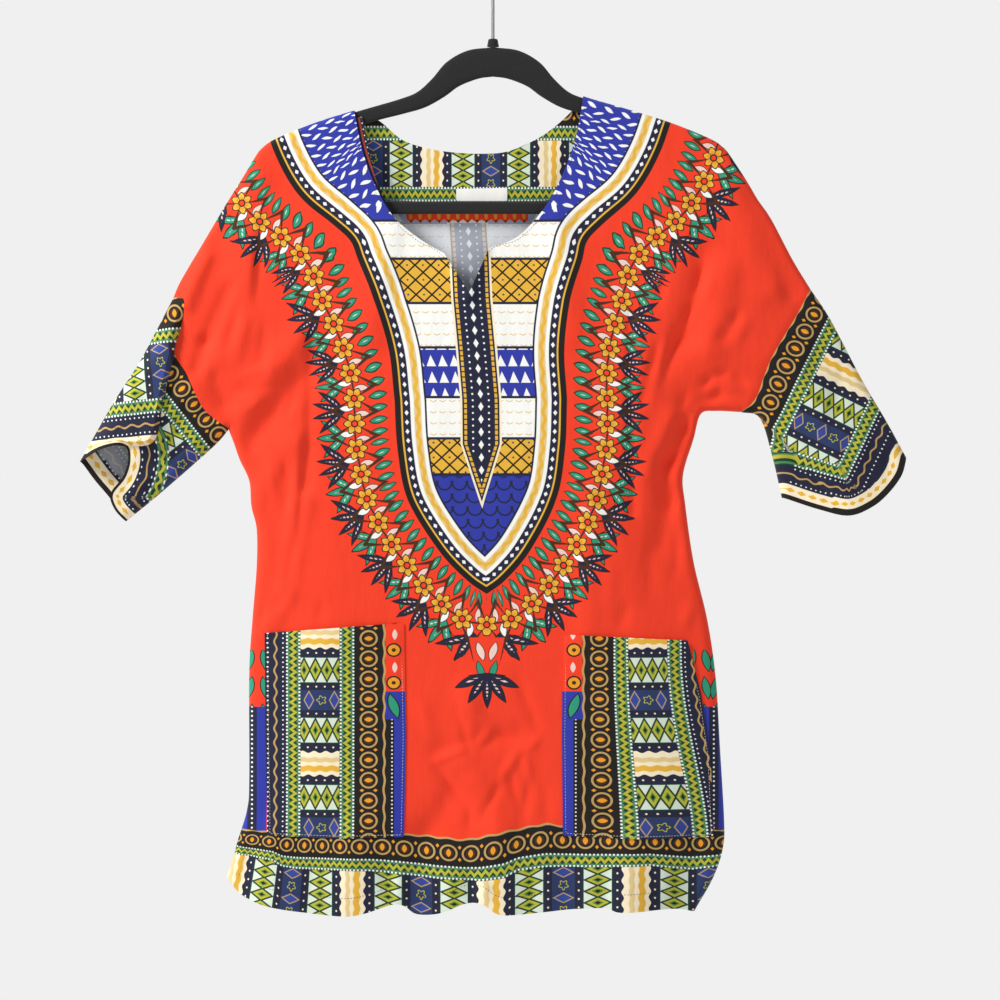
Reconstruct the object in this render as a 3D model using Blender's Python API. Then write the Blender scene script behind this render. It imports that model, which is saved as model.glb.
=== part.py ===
"""A printed cotton dashiki shirt hanging on a slim flocked hanger.

The garment is set out on the hanger's centre line, in millimetres.  `across` runs from the
centre line towards the wearer's left (+X), `drop` runs down from the high shoulder point and
`y` runs from the front of the garment (-Y) to its back (+Y).  Each cloth piece is a cut shape
laid on the flattened tube of the hanging shirt and given its wall, so its edges stay open.
The origin is the point where the hook bears on the rail.
"""

import math
from collections import namedtuple

import bmesh
import bpy
import numpy as np
from mathutils.geometry import delaunay_2d_cdt

MM = 0.001

# Cloth and seams
CLOTH = 1.4                 # wall of the printed cotton panels
FACING_CLOTH = 1.0          # wall of the facings and the label
POCKET_CLOTH = 1.2          # wall of the patch pockets
GAP = 0.3                   # between pieces that meet at a seam
SEAM_ROOM = 0.4             # between sleeve and panel, whose facets turn at the armhole
LAY_GAP = 0.35              # between a piece and the panel it lies on

# Hanging: the hook's bearing point is the origin
SHOULDER_LEVEL = 149.0      # from the bearing point down to the high shoulder point
WIRE_RADIUS = 1.6
HOOK_RADIUS = 20.6          # centre line of the hook's arc
HOOK_NECK_RADIUS = 10.0     # bend between the stem and the arc
HOOK_TIP_ANGLE = 205.0      # degrees round the arc, from +X over the top
HANGER_HALF = 2.5           # half the hanger's thickness
HANGER_EDGE = 1.4           # chamfer along the hanger's edges
HOOK_ARC_POINTS = 26
HOOK_BEND_POINTS = 6
STEM_POINTS = 4
STEM_FROM = 12.0            # above the collar, and
STEM_TO = 6.0               # below the bend, the stem has its middle points
COLLAR_WIDTH = 11.4
COLLAR_DEPTH = 7.6
COLLAR_HEIGHT = 7.6
COLLAR_TAPER = 0.8          # top width against the foot's
COLLAR_ROUND = 1.5
COLLAR_SIDES = 24
HANGER_CLEAR = 0.5          # between the hanger's top edge and the cloth
SHOULDER_SEAT = CLOTH / 2 + HANGER_CLEAR    # hanger's top edge to the middle of the cloth
HANGER_LEFT_AT = 52.0       # the drop at which the cloth leaves the hanger's ends

# Mesh steps
EDGE_STEP = 16.0            # along outlines
SHOULDER_STEP = 7.0         # along the shoulders, over the hanger's arms
FINE_STEP = 11.0            # along folds, seams and necklines
EDGE_BANDS = (0.6, 2.3)     # rows of points beside a folded edge
FRONT_STEP = 24.0           # between points over the open cloth
BACK_STEP = 31.0
SLEEVE_STEP = 20.0
ON_EDGE = 0.02              # points this close to a folded edge lie on it
CURVE_PARTS = 24            # short chords between two points of a curve
END_REACH = 9.0             # outlines have no other points this near their ends
SAME_SPOT = 0.001
BAND_SPACING = 0.45         # nearest points, as a share of the band's own distance
BAND_CLEAR = 0.9            # to the outline, as a share of the band's own distance
FOLD_ROWS = (0, -0.9, 0.9)  # rows of points along a fold, in its widths
FOLD_SPACING = 4.0
FOLD_FROM_EDGE = 3.0
GRID_SPACING = 0.62         # nearest points, as a share of the grid's step
GRID_CLEAR = 0.5            # to the outline, as a share of the grid's step
SMOOTH_ANGLE = 40.0         # degrees; sharper edges stay crisp

Spot = namedtuple("Spot", "across drop")
HangerSection = namedtuple("HangerSection", "outer_across outer_drop inner_across inner_drop")
DepthRow = namedtuple("DepthRow", "drop front back round_edge")
Fold = namedtuple("Fold", "name from_across from_drop to_across to_drop width rise")
Finish = namedtuple("Finish", "name colour roughness metallic")

FINISHES = {
    "print": Finish("dashiki_print", (0.95, 0.10, 0.03, 1.0), 0.85, 0.0),
    "border": Finish("border_print", (0.10, 0.16, 0.12, 1.0), 0.85, 0.0),
    "navy": Finish("navy_facing", (0.02, 0.02, 0.05, 1.0), 0.85, 0.0),
    "label": Finish("white_label", (0.85, 0.85, 0.82, 1.0), 0.6, 0.0),
    "flock": Finish("black_flock", (0.006, 0.006, 0.008, 1.0), 0.95, 0.0),
    "steel": Finish("polished_steel", (0.62, 0.62, 0.62, 1.0), 0.25, 1.0),
}

# One half of the hanger, from the middle of its arch round the arm's end to the bar's middle
HANGER_SECTIONS = (
    HangerSection(0, -54, 0, -26),
    HangerSection(24, -51, 14, -24),
    HangerSection(44, -40, 32, -17),
    HangerSection(58, -24, 46, -7),
    HangerSection(72, -11.5, 64, 3),
    HangerSection(88, -5, 84, 9),
    HangerSection(110, 1.5, 106, 14.5),
    HangerSection(129, 7, 125, 20),
    HangerSection(166, 18.5, 162, 31),
    HangerSection(200, 32, 195, 43.5),
    HangerSection(216, 41, 209, 51),
    HangerSection(226, 54, 216, 60),
    HangerSection(228.5, 68, 217.5, 69),
    HangerSection(226, 82, 215.5, 78),
    HangerSection(218, 94, 209, 86),
    HangerSection(205, 102, 200, 91),
    HangerSection(188, 104.5, 186, 92.5),
    HangerSection(90, 104.5, 90, 92.5),
    HangerSection(0, 104.5, 0, 92.5),
)

# The hanging tube: half depths of front and back, and how round its folded edges are
DEPTH_ROWS = (
    DepthRow(-20, 5.4, 5.4, 5.2),
    DepthRow(20, 5.6, 5.8, 5.2),
    DepthRow(60, 7.0, 7.5, 5.2),
    DepthRow(110, 9.5, 8.5, 5.4),
    DepthRow(200, 13.0, 10.0, 6.0),
    DepthRow(320, 16.0, 11.5, 7.0),
    DepthRow(480, 16.0, 12.0, 7.5),
    DepthRow(640, 18.0, 14.0, 8.5),
    DepthRow(770, 21.0, 16.0, 9.0),
)
DEPTH_REACH = 75.0          # from a folded edge to the full depth

# Outer line below the hanger's end, then down the sleeve to its cuff
OVER_RIGHT = (Spot(-239, 73), Spot(-251, 92), Spot(-273, 129), Spot(-296, 168), Spot(-303, 184))
OVER_LEFT = (Spot(241, 74), Spot(251, 91), Spot(264, 110), Spot(284, 148), Spot(301, 176))
SLEEVE_OVER_RIGHT = (Spot(-303, 184), Spot(-334, 243), Spot(-359, 282), Spot(-392, 340))
SLEEVE_OVER_LEFT = (Spot(301, 176), Spot(320, 205), Spot(350, 262), Spot(374, 303), Spot(392, 336))
# Under the sleeve from cuff to seam, then from the seam to the hem
SLEEVE_UNDER_RIGHT = (Spot(-349, 396), Spot(-316, 369), Spot(-266, 325), Spot(-251, 308))
SLEEVE_UNDER_LEFT = (Spot(275, 374), Spot(266, 335), Spot(254, 298), Spot(235, 292))
SIDE_RIGHT = (Spot(-251, 308), Spot(-246, 321), Spot(-240, 338), Spot(-231, 358), Spot(-229, 382),
              Spot(-224, 404), Spot(-224, 440), Spot(-228, 490), Spot(-231, 540), Spot(-231, 640),
              Spot(-233, 670), Spot(-242, 700), Spot(-246, 715), Spot(-252, 734))
SIDE_LEFT = (Spot(235, 292), Spot(212, 291), Spot(197, 294), Spot(190, 318), Spot(180, 352),
             Spot(182, 380), Spot(190, 435), Spot(203, 490), Spot(211, 545), Spot(215, 610),
             Spot(219, 680), Spot(218, 706), Spot(209, 734), Spot(191, 766))
HEM = (Spot(-252, 734), Spot(-237, 750), Spot(-206, 761), Spot(-148, 768), Spot(-122, 766),
       Spot(-96, 758), Spot(-84, 759), Spot(-72, 767), Spot(-50, 766), Spot(-27, 757), Spot(-10, 757),
       Spot(4, 766), Spot(22, 767), Spot(79, 762), Spot(107, 761), Spot(121, 765), Spot(169, 763),
       Spot(191, 766))

NECK_RIGHT_ACROSS = -129.0   # where the neckline leaves the hanger's arms
NECK_LEFT_ACROSS = 85.0
FRONT_NECK_RIGHT = (Spot(-124, 44), Spot(-112, 77), Spot(-95, 107), Spot(-71, 128), Spot(-46, 143))
FRONT_NECK_LEFT = (Spot(78, 34), Spot(64, 72), Spot(47, 102), Spot(23, 127), Spot(-4, 138))
SLIT_END = Spot(-22.5, 180)
BACK_NECK = (Spot(-109, 15), Spot(-87, 33), Spot(-64, 41), Spot(-40, 45), Spot(-12, 46.5),
             Spot(15, 44), Spot(46, 30), Spot(69, 12))
BACK_FACING = (Spot(-149, 20), Spot(-141, 62), Spot(-118, 86), Spot(-80, 91.5), Spot(-35, 91.5),
               Spot(20, 91.5), Spot(62, 88), Spot(92, 64), Spot(102, 8))
BACK_FACING_BELOW_SHOULDER = 4.5
STRIP_BELOW_SHOULDER = 5.5
LABEL = (Spot(-35, 80), Spot(-35, 91.5), Spot(13.5, 91.5), Spot(13.5, 79))
STRIP_TUCK = 5.0            # the front facing's strip starts this far behind the panel
STRIP_BEHIND = 1.0          # its middle row, just behind the panel's edge
STRIP_SHOWS = 6.0           # beyond the edge at the top
STRIP_SHOWS_LEAST = 0.8     # beyond the edge at its foot

# Armhole seams on the front from the top of the shoulder to the underarm
SEAM_FRONT_RIGHT = (Spot(-303, 184), Spot(-297, 185), Spot(-292, 188), Spot(-296, 212),
                    Spot(-302, 236), Spot(-290, 257), Spot(-276, 287), Spot(-263, 300),
                    Spot(-251, 308))
SEAM_FRONT_LEFT = (Spot(301, 176), Spot(289, 199), Spot(266, 237), Spot(257, 258), Spot(251, 276),
                   Spot(244, 286), Spot(235, 292))
SEAM_BACK_RIGHT = (Spot(-303, 184), Spot(-291, 216), Spot(-281, 248), Spot(-267, 282),
                   Spot(-251, 308))
SEAM_BACK_LEFT = (Spot(301, 176), Spot(286, 205), Spot(270, 236), Spot(255, 266), Spot(235, 292))

# Cuffs from the outer fold to the underarm
CUFF_FRONT_RIGHT = (Spot(-392, 340), Spot(-370, 328), Spot(-349, 325), Spot(-345, 337),
                    Spot(-350, 354), Spot(-362, 370), Spot(-359, 384), Spot(-349, 396))
CUFF_BACK_RIGHT = (Spot(-392, 340), Spot(-379, 358), Spot(-364, 376), Spot(-356, 390),
                   Spot(-349, 396))
CUFF_FRONT_LEFT = (Spot(392, 336), Spot(387, 353), Spot(374, 370), Spot(358, 383), Spot(336, 391),
                   Spot(308, 385), Spot(275, 374))
CUFF_BACK_LEFT = (Spot(392, 336), Spot(382, 350), Spot(368, 364), Spot(350, 377), Spot(330, 383),
                  Spot(302, 378), Spot(275, 374))

# The right sleeve's outer part stands proud of the rest, up to this line
OVERLAP_CREST = (Spot(-292, 188), Spot(-297, 212), Spot(-302, 236), Spot(-312, 280),
                 Spot(-321, 320), Spot(-349, 325))
OVERLAP_RISE = 8.0
OVERLAP_STEP = 4.0           # how far from the crest line the step reaches
OVERLAP_START = Spot(-297, 186)
OVERLAP_FADE = 34.0          # the step grows to its full height this far down

# Patch pockets on the front, clockwise from the upper corner nearest the side seam
POCKET_RIGHT = (Spot(-216, 502), Spot(-84, 492), Spot(-82, 600), Spot(-84, 694), Spot(-150, 695),
                Spot(-213, 693), Spot(-215, 600))
POCKET_LEFT = (Spot(66, 503), Spot(184, 509), Spot(197, 560), Spot(206, 620), Spot(209, 695),
               Spot(140, 696), Spot(66, 693), Spot(65, 600))
POCKET_GAPE = 2.5            # how far a pocket's mouth stands off

# Main folds: ridges rise out of the cloth, troughs (negative) sink into it
FRONT_FOLDS = (
    Fold("right dart", -172, 222, -174, 364, 5, -2.2),
    Fold("left dart", 130, 200, 132, 388, 5, -2.2),
    Fold("right dart runs out", -180, 380, -194, 458, 12, 3.0),
    Fold("right side pucker", -196, 470, -216, 500, 10, 2.5),
    Fold("right armpit ridge", -238, 296, -182, 222, 13, 4.5),
    Fold("right armpit trough", -232, 326, -184, 262, 11, -3.5),
    Fold("right side drag", -225, 372, -186, 318, 11, 3.0),
    Fold("right shoulder crease", -250, 176, -272, 226, 8, -3.5),
    Fold("right shoulder crease foot", -272, 226, -281, 254, 7, -3.5),
    Fold("right sleeve head", -274, 146, -291, 190, 9, 5.0),
    Fold("right armpit hook", -262, 262, -254, 284, 8, -2.5),
    Fold("right hanger drag", -226, 74, -240, 168, 17, 3.0),
    Fold("left hanger drag", 226, 74, 258, 176, 17, 3.0),
    Fold("left shoulder drag", 200, 146, 181, 222, 12, -3.5),
    Fold("left shoulder drag foot", 181, 222, 166, 246, 12, -3.0),
    Fold("left shoulder roll", 222, 160, 206, 232, 14, 3.0),
    Fold("left armpit trough", 212, 276, 182, 308, 9, -3.0),
    Fold("left armpit trough low", 182, 308, 164, 342, 10, -4.0),
    Fold("left armpit ridge", 168, 300, 148, 350, 10, 3.5),
    Fold("left waist trough", 164, 342, 167, 378, 10, -3.5),
    Fold("left waist trough low", 167, 378, 158, 420, 11, -3.0),
    Fold("left waist roll", 92, 366, 90, 500, 14, 2.5),
    Fold("right neck roll", -100, 122, -118, 220, 16, 2.5),
    Fold("left neck roll", 60, 112, 74, 220, 16, 2.5),
    Fold("right slit lapel", -40, 146, -24, 182, 7, 2.5),
    Fold("left slit lapel", -10, 142, -21, 182, 7, 2.5),
    Fold("skirt crinkle high", -22, 556, -28, 640, 12, 2.5),
    Fold("skirt crinkle right", -30, 640, -62, 692, 12, -2.5),
    Fold("skirt crinkle left", -14, 640, 10, 690, 12, 2.5),
    Fold("skirt cross pull", -50, 612, 24, 596, 10, -2.0),
    Fold("hem wave far right", -206, 690, -214, 756, 17, 4.0),
    Fold("hem wave right", -132, 700, -136, 766, 18, 4.5),
    Fold("hem wave right of middle", -66, 696, -70, 768, 17, -3.5),
    Fold("hem wave middle", 0, 690, 6, 768, 19, 4.0),
    Fold("hem wave left of middle", 70, 700, 72, 768, 17, -3.5),
    Fold("hem wave left", 128, 700, 134, 768, 18, 4.0),
    Fold("hem wave far left", 190, 690, 184, 760, 14, -3.0),
)
BACK_FOLDS = (
    Fold("right shoulder blade", -150, 120, -172, 300, 24, 3.0),
    Fold("left shoulder blade", 128, 116, 142, 290, 22, 3.0),
    Fold("middle back drop", -20, 150, -14, 420, 28, -3.0),
    Fold("right armpit pull", -236, 300, -160, 230, 13, 4.0),
    Fold("right armpit trough", -226, 330, -150, 286, 12, -3.0),
    Fold("left armpit pull", 188, 300, 124, 236, 13, 4.0),
    Fold("left armpit trough", 182, 334, 116, 300, 12, -3.0),
    Fold("right skirt roll", -150, 470, -166, 766, 22, 3.5),
    Fold("right of middle trough", -86, 430, -92, 766, 20, -3.5),
    Fold("middle skirt roll", -18, 480, -12, 768, 24, 4.0),
    Fold("left of middle trough", 58, 440, 64, 768, 20, -3.5),
    Fold("left skirt roll", 134, 470, 146, 766, 22, 3.5),
)
FOLD_CLEAR = 14.0            # folds fade out this close to a folded edge
STRAIGHT_DOWN = (0, 0, 1)    # the cloth faces this way at the armpits


# ---------------------------------------------------------------- curves in the cut plane

def curve_through(points, step=EDGE_STEP, count=None):
    """Return evenly spaced points on a smooth curve through `points`."""
    points = np.array(points, dtype=float)
    padded = np.vstack([2 * points[0] - points[1], points, 2 * points[-1] - points[-2]])
    t = np.linspace(0, 1, CURVE_PARTS, endpoint=False)[:, None]
    dense = []
    for a, b, c, d in zip(padded, padded[1:], padded[2:], padded[3:]):
        dense.append(0.5 * (2 * b + (c - a) * t + (2 * a - 5 * b + 4 * c - d) * t ** 2
                            + (3 * b - a - 3 * c + d) * t ** 3))
    dense = np.vstack(dense + [points[-1:]])
    return evenly(dense, step, count)


def evenly(line, step=EDGE_STEP, count=None):
    """Return points at even distances along a polyline, its ends included."""
    line = np.array(line, dtype=float)
    travelled = np.concatenate([[0], np.cumsum(np.linalg.norm(np.diff(line, axis=0), axis=1))])
    count = count or max(2, round(travelled[-1] / step) + 1)
    wanted = np.linspace(0, travelled[-1], count)
    return np.column_stack([np.interp(wanted, travelled, column) for column in line.T])


def with_fine_ends(line):
    """Return a line with extra points near its ends, where it meets folded edges."""
    travelled = np.concatenate([[0], np.cumsum(np.linalg.norm(np.diff(line, axis=0), axis=1))])
    wanted = [*EDGE_BANDS, *(travelled[-1] - np.array(EDGE_BANDS))]
    wanted += [t for t in travelled if END_REACH < t < travelled[-1] - END_REACH]
    wanted = np.array(sorted([0, travelled[-1], *wanted]))
    return np.column_stack([np.interp(wanted, travelled, column) for column in line.T])


def normals_of(line):
    """Return the left-hand unit normals along a polyline."""
    along = np.gradient(line, axis=0)
    along /= np.linalg.norm(along, axis=1)[:, None]
    return np.column_stack([-along[:, 1], along[:, 0]])


def distance_to(line, points):
    """Return each point's distance to a polyline."""
    start, leg = line[:-1], np.diff(line, axis=0)
    offset = points[:, None, :] - start[None]
    share = np.clip((offset * leg).sum(2) / (leg ** 2).sum(1), 0, 1)
    return np.linalg.norm(offset - share[..., None] * leg, axis=2).min(1)


def inside(loop, points):
    """Tell which points lie inside a closed loop."""
    result = np.zeros(len(points), dtype=bool)
    for (ax, ay), (bx, by) in zip(loop, np.roll(loop, -1, axis=0)):
        crosses = (ay > points[:, 1]) != (by > points[:, 1])
        with np.errstate(divide="ignore", invalid="ignore"):
            at = ax + (points[:, 1] - ay) * (bx - ax) / (by - ay)
        result ^= crosses & (points[:, 0] < at)
    return result


def smoothstep(value):
    """Ease from 0 to 1 as value goes from 0 to 1."""
    value = np.clip(value, 0, 1)
    return value * value * (3 - 2 * value)


# ---------------------------------------------------------------- lines of the garment

def shoulder_line(neck_across, below_hanger):
    """Return the line over the hanger's arm from the neck, then down to the sleeve seam."""
    side = math.copysign(1, neck_across)
    arm = curve_through([(side * row.outer_across, row.outer_drop) for row in HANGER_SECTIONS], 3)
    seated = arm - side * normals_of(arm) * SHOULDER_SEAT
    worn = (np.abs(seated[:, 0]) >= abs(neck_across)) & (seated[:, 1] < HANGER_LEFT_AT)
    return curve_through(np.vstack([seated[worn][::2], below_hanger]), SHOULDER_STEP)


OVER = {"right": shoulder_line(NECK_RIGHT_ACROSS, OVER_RIGHT),
        "left": shoulder_line(NECK_LEFT_ACROSS, OVER_LEFT)}
SIDES = {"right": curve_through(SIDE_RIGHT), "left": curve_through(SIDE_LEFT)}
FRONT_SEAMS = {"right": with_fine_ends(curve_through(SEAM_FRONT_RIGHT, FINE_STEP)),
               "left": with_fine_ends(curve_through(SEAM_FRONT_LEFT, FINE_STEP))}
BACK_SEAMS = {"right": with_fine_ends(curve_through(SEAM_BACK_RIGHT, FINE_STEP)),
              "left": with_fine_ends(curve_through(SEAM_BACK_LEFT, FINE_STEP))}
SLEEVE_OVER = {"right": curve_through(SLEEVE_OVER_RIGHT), "left": curve_through(SLEEVE_OVER_LEFT)}
SLEEVE_UNDER = {"right": curve_through(SLEEVE_UNDER_RIGHT),
                "left": curve_through(SLEEVE_UNDER_LEFT)}
FOLDED_EDGES = (
    np.vstack([OVER["right"], SLEEVE_OVER["right"][1:]]),
    np.vstack([OVER["left"], SLEEVE_OVER["left"][1:]]),
    np.vstack([SLEEVE_UNDER["right"], SIDES["right"][1:]]),
    np.vstack([SLEEVE_UNDER["left"], SIDES["left"][1:]]),
)


def fold_height(folds, points, edge_distance):
    """Return how far the folds lift the cloth at each point."""
    height = np.zeros(len(points))
    for fold in folds:
        start = np.array([fold.from_across, fold.from_drop])
        leg = np.array([fold.to_across, fold.to_drop]) - start
        share = np.clip(((points - start) @ leg) / (leg @ leg), 0, 1)
        away = np.linalg.norm(points - start - share[:, None] * leg, axis=1)
        height += fold.rise * np.exp(-(away / fold.width) ** 2)
    return height * smoothstep(edge_distance / FOLD_CLEAR)


def cloth_y(points, face, gap=GAP):
    """Return the y of the middle of the cloth on the front (-1) or the back (+1)."""
    distance = np.min([distance_to(edge, points) for edge in FOLDED_EDGES], axis=0)
    distance[distance < ON_EDGE] = 0
    drops = [row.drop for row in DEPTH_ROWS]
    depths = [row.front if face < 0 else row.back for row in DEPTH_ROWS]
    depth = np.interp(points[:, 1], drops, depths)
    round_edge = np.interp(points[:, 1], drops, [row.round_edge for row in DEPTH_ROWS])
    turned = 1 - np.minimum(distance / round_edge, 1)
    profile = round_edge * np.sqrt(1 - turned ** 2)
    profile += (depth - round_edge) * smoothstep(distance / DEPTH_REACH)
    folds = FRONT_FOLDS if face < 0 else BACK_FOLDS
    return face * (gap / 2 + profile + fold_height(folds, points, distance))


def overlap_lift(points):
    """Return how far the right sleeve's outer part stands proud of its lower part."""
    crest = curve_through(OVERLAP_CREST)
    outer = inside(np.vstack([crest, SLEEVE_OVER["right"][::-1]]), points)
    rise = smoothstep(distance_to(crest, points) / OVERLAP_STEP)
    grown = smoothstep(np.linalg.norm(points - OVERLAP_START, axis=1) / OVERLAP_FADE)
    free = smoothstep(distance_to(SLEEVE_OVER["right"], points) / FOLD_CLEAR)
    return np.where(outer, OVERLAP_RISE * rise * grown * free, 0)


# ---------------------------------------------------------------- cut pieces

class Panel:
    """A cut piece of cloth: its points on the cut plane, its triangles and its y values."""

    def __init__(self, sections, face, folds, marks, step, gap=GAP, lift=None):
        """Fill the outline's named sections, keeping `marks` as edges of the mesh."""
        self.face = face
        outline = np.vstack([line[:-1] for _, line in sections])
        folded = [line for kind, line in sections if kind == "folded"]
        inner = self._loose_points(outline, folded, folds, marks, step)
        points, edges = list(map(tuple, outline)), []
        for mark in marks:
            first = len(points)
            points += list(map(tuple, mark))
            edges += [(first + i, first + i + 1) for i in range(len(mark) - 1)]
        points += list(map(tuple, inner))
        ring = list(range(len(outline)))
        found = delaunay_2d_cdt(points, edges, [ring], 1, SAME_SPOT)
        self.cut = np.array([tuple(point) for point in found[0]])
        triangles = np.array(found[2])
        a, b, c = (self.cut[triangles[:, i]] for i in range(3))
        turn = (b[:, 0] - a[:, 0]) * (c[:, 1] - a[:, 1]) - (b[:, 1] - a[:, 1]) * (c[:, 0] - a[:, 0])
        flip = turn * face < 0
        triangles[flip] = triangles[flip][:, ::-1]
        self.triangles = triangles
        y = cloth_y(self.cut, face, gap)
        if lift is not None:
            y += face * lift(self.cut)
        self.points = np.column_stack([self.cut[:, 0], y, self.cut[:, 1]])
        self.normals = averaged_normals(self.points, triangles)
        on_edge = np.min([distance_to(edge, self.cut) for edge in folded], axis=0) < ON_EDGE
        self.normals[on_edge, 1] = 0
        for side in ("right", "left"):
            armpit = np.linalg.norm(self.cut - SIDES[side][0], axis=1) < 2 * SEAM_ROOM
            self.normals[armpit] = STRAIGHT_DOWN
        self.normals /= np.linalg.norm(self.normals, axis=1)[:, None]

    @staticmethod
    def _loose_points(outline, folded, folds, marks, step):
        """Return points inside the outline: rows at folded edges, folds, then an even grid."""
        kept = np.vstack([outline] + list(marks))
        loop = np.vstack([outline, outline[:1]])
        chosen = []

        def keep(candidates, spacing, clear):
            nonlocal kept
            candidates = candidates[inside(outline, candidates)]
            candidates = candidates[distance_to(loop, candidates) > clear]
            for point in candidates:
                if np.linalg.norm(kept - point, axis=1).min() > spacing:
                    kept = np.vstack([kept, point])
                    chosen.append(point)

        for line in folded:
            for band in EDGE_BANDS:
                for side in (-1, 1):
                    keep(line + side * band * normals_of(line), BAND_SPACING * band, BAND_CLEAR * band)
        for fold in folds:
            ends = np.array([(fold.from_across, fold.from_drop), (fold.to_across, fold.to_drop)])
            line = evenly(ends, FINE_STEP)
            for share in FOLD_ROWS:
                keep(line + share * fold.width * normals_of(line), FOLD_SPACING, FOLD_FROM_EDGE)
        low, high = outline.min(0), outline.max(0)
        rows = np.arange(low[1], high[1], step * math.sqrt(0.75))
        for number, drop in enumerate(rows):
            across = np.arange(low[0] + step * (number % 2) / 2, high[0], step)
            row = np.column_stack([across, np.full(len(across), drop)])
            keep(row, GRID_SPACING * step, GRID_CLEAR * step)
        return np.array(chosen)

    def normal_at(self, spot):
        """Return the normal of the panel's point nearest to a spot on the cut plane."""
        return self.normals[np.linalg.norm(self.cut - spot, axis=1).argmin()]

    def patch(self, loop, offset, lift=None):
        """Return the points and triangles of a piece that lies on this panel, moved out."""
        centres = self.cut[self.triangles].mean(1)
        triangles = self.triangles[inside(loop, centres)]
        used = np.unique(triangles)
        renumber = np.full(len(self.cut), -1)
        renumber[used] = np.arange(len(used))
        away = np.full(len(used), offset)
        if lift is not None:
            away = away + lift(self.cut[used])
        points = self.points[used] + self.normals[used] * away[:, None]
        return points, renumber[triangles], self.normals[used]


def averaged_normals(points, triangles):
    """Return unit normals at the points, averaged over the triangles that meet there."""
    a, b, c = (points[triangles[:, i]] for i in range(3))
    faces = np.cross(b - a, c - a)
    normals = np.zeros_like(points)
    for corner in range(3):
        np.add.at(normals, triangles[:, corner], faces)
    # `drop` runs down while z runs up, so the turn of a triangle is the other way round
    return -normals / np.linalg.norm(normals, axis=1)[:, None]


def to_world(points):
    """Turn (across, y, drop) in millimetres into (x, y, z) in metres."""
    world = np.array(points, dtype=float)
    world[:, 2] = -(SHOULDER_LEVEL + world[:, 2])
    return world * MM


def make_object(name, vertices, faces, finish):
    """Make a mesh object with its own material."""
    mesh = bpy.data.meshes.new(name)
    mesh.from_pydata([tuple(vertex) for vertex in vertices], [], [tuple(f) for f in faces])
    mesh.update()
    mesh.shade_smooth()
    mesh.set_sharp_from_angle(angle=math.radians(SMOOTH_ANGLE))
    mesh.materials.append(make_material(FINISHES[finish]))
    made = bpy.data.objects.new(name, mesh)
    bpy.context.scene.collection.objects.link(made)
    return made


def make_material(finish):
    """Return the finish's material, made once."""
    material = bpy.data.materials.get(finish.name)
    if material is None:
        material = bpy.data.materials.new(finish.name)
        material.use_nodes = True
        shader = material.node_tree.nodes["Principled BSDF"]
        shader.inputs["Base Color"].default_value = finish.colour
        shader.inputs["Roughness"].default_value = finish.roughness
        shader.inputs["Metallic"].default_value = finish.metallic
    return material


def wall(name, points, triangles, normals, thickness, finish):
    """Give a sheet its thickness: outer and inner faces joined by a rim at every edge."""
    count = len(points)
    half = normals * thickness / 2
    vertices = to_world(np.vstack([points + half, points - half]))
    faces = [tuple(face) for face in triangles]
    faces += [tuple(face[::-1] + count) for face in triangles]
    edges = {(a, b) for face in triangles for a, b in zip(face, np.roll(face, -1))}
    for a, b in sorted(edges):
        if (b, a) not in edges:
            faces += [(b, a, a + count), (b, a + count, b + count)]
    return make_object(name, vertices, faces, finish)


# ---------------------------------------------------------------- the shirt's pieces

def shrunk_seam(seam, side):
    """Return a seam line moved a gap away from the sleeve, into the panel."""
    inward = 1 if side == "right" else -1
    return seam - inward * SEAM_ROOM * normals_of(seam)


def panel_sections(seams, neck):
    """Return the outline of a body panel from its neck's right end, round and back."""
    return [
        ("folded", join_end(OVER["right"], shrunk_seam(seams["right"], "right")[0])),
        ("seam", shrunk_seam(seams["right"], "right")),
        ("folded", join_start(SIDES["right"], shrunk_seam(seams["right"], "right")[-1])),
        ("hem", with_fine_ends(curve_through(HEM))),
        ("folded", join_end(SIDES["left"][::-1], shrunk_seam(seams["left"], "left")[-1])),
        ("seam", shrunk_seam(seams["left"], "left")[::-1]),
        ("folded", join_start(OVER["left"][::-1], shrunk_seam(seams["left"], "left")[0])),
        ("neck", with_fine_ends(neck)),
    ]


def join_end(line, spot):
    """Return the line with its last point put on a spot."""
    return np.vstack([line[:-1], spot])


def join_start(line, spot):
    """Return the line with its first point put on a spot."""
    return np.vstack([spot, line[1:]])


def front_neck_line():
    """Return the front neckline from the wearer's left down to the slit and up again."""
    left = curve_through([OVER["left"][0], *FRONT_NECK_LEFT], step=FINE_STEP)
    slit_left = evenly([FRONT_NECK_LEFT[-1], SLIT_END], FINE_STEP)
    slit_right = evenly([SLIT_END, FRONT_NECK_RIGHT[-1]], FINE_STEP)
    right = curve_through([*FRONT_NECK_RIGHT[::-1], OVER["right"][0]], step=FINE_STEP)
    return np.vstack([left, slit_left[1:], slit_right[1:], right[1:]])


def pocket_loop(corners):
    """Return a pocket's closed outline."""
    return evenly([*corners, corners[0]], EDGE_STEP)


def pocket_lift(loop):
    """Return how far a pocket stands off, most at the middle of its mouth."""
    top, bottom = loop[:, 1].min(), loop[:, 1].max()
    left, right = loop[:, 0].min(), loop[:, 0].max()

    def lift(points):
        down = (points[:, 1] - top) / (bottom - top)
        over = (points[:, 0] - left) / (right - left)
        bow = np.sin(np.pi * np.clip(over, 0, 1))
        return POCKET_GAPE * bow * smoothstep(1 - down * 3)

    return lift


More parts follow.
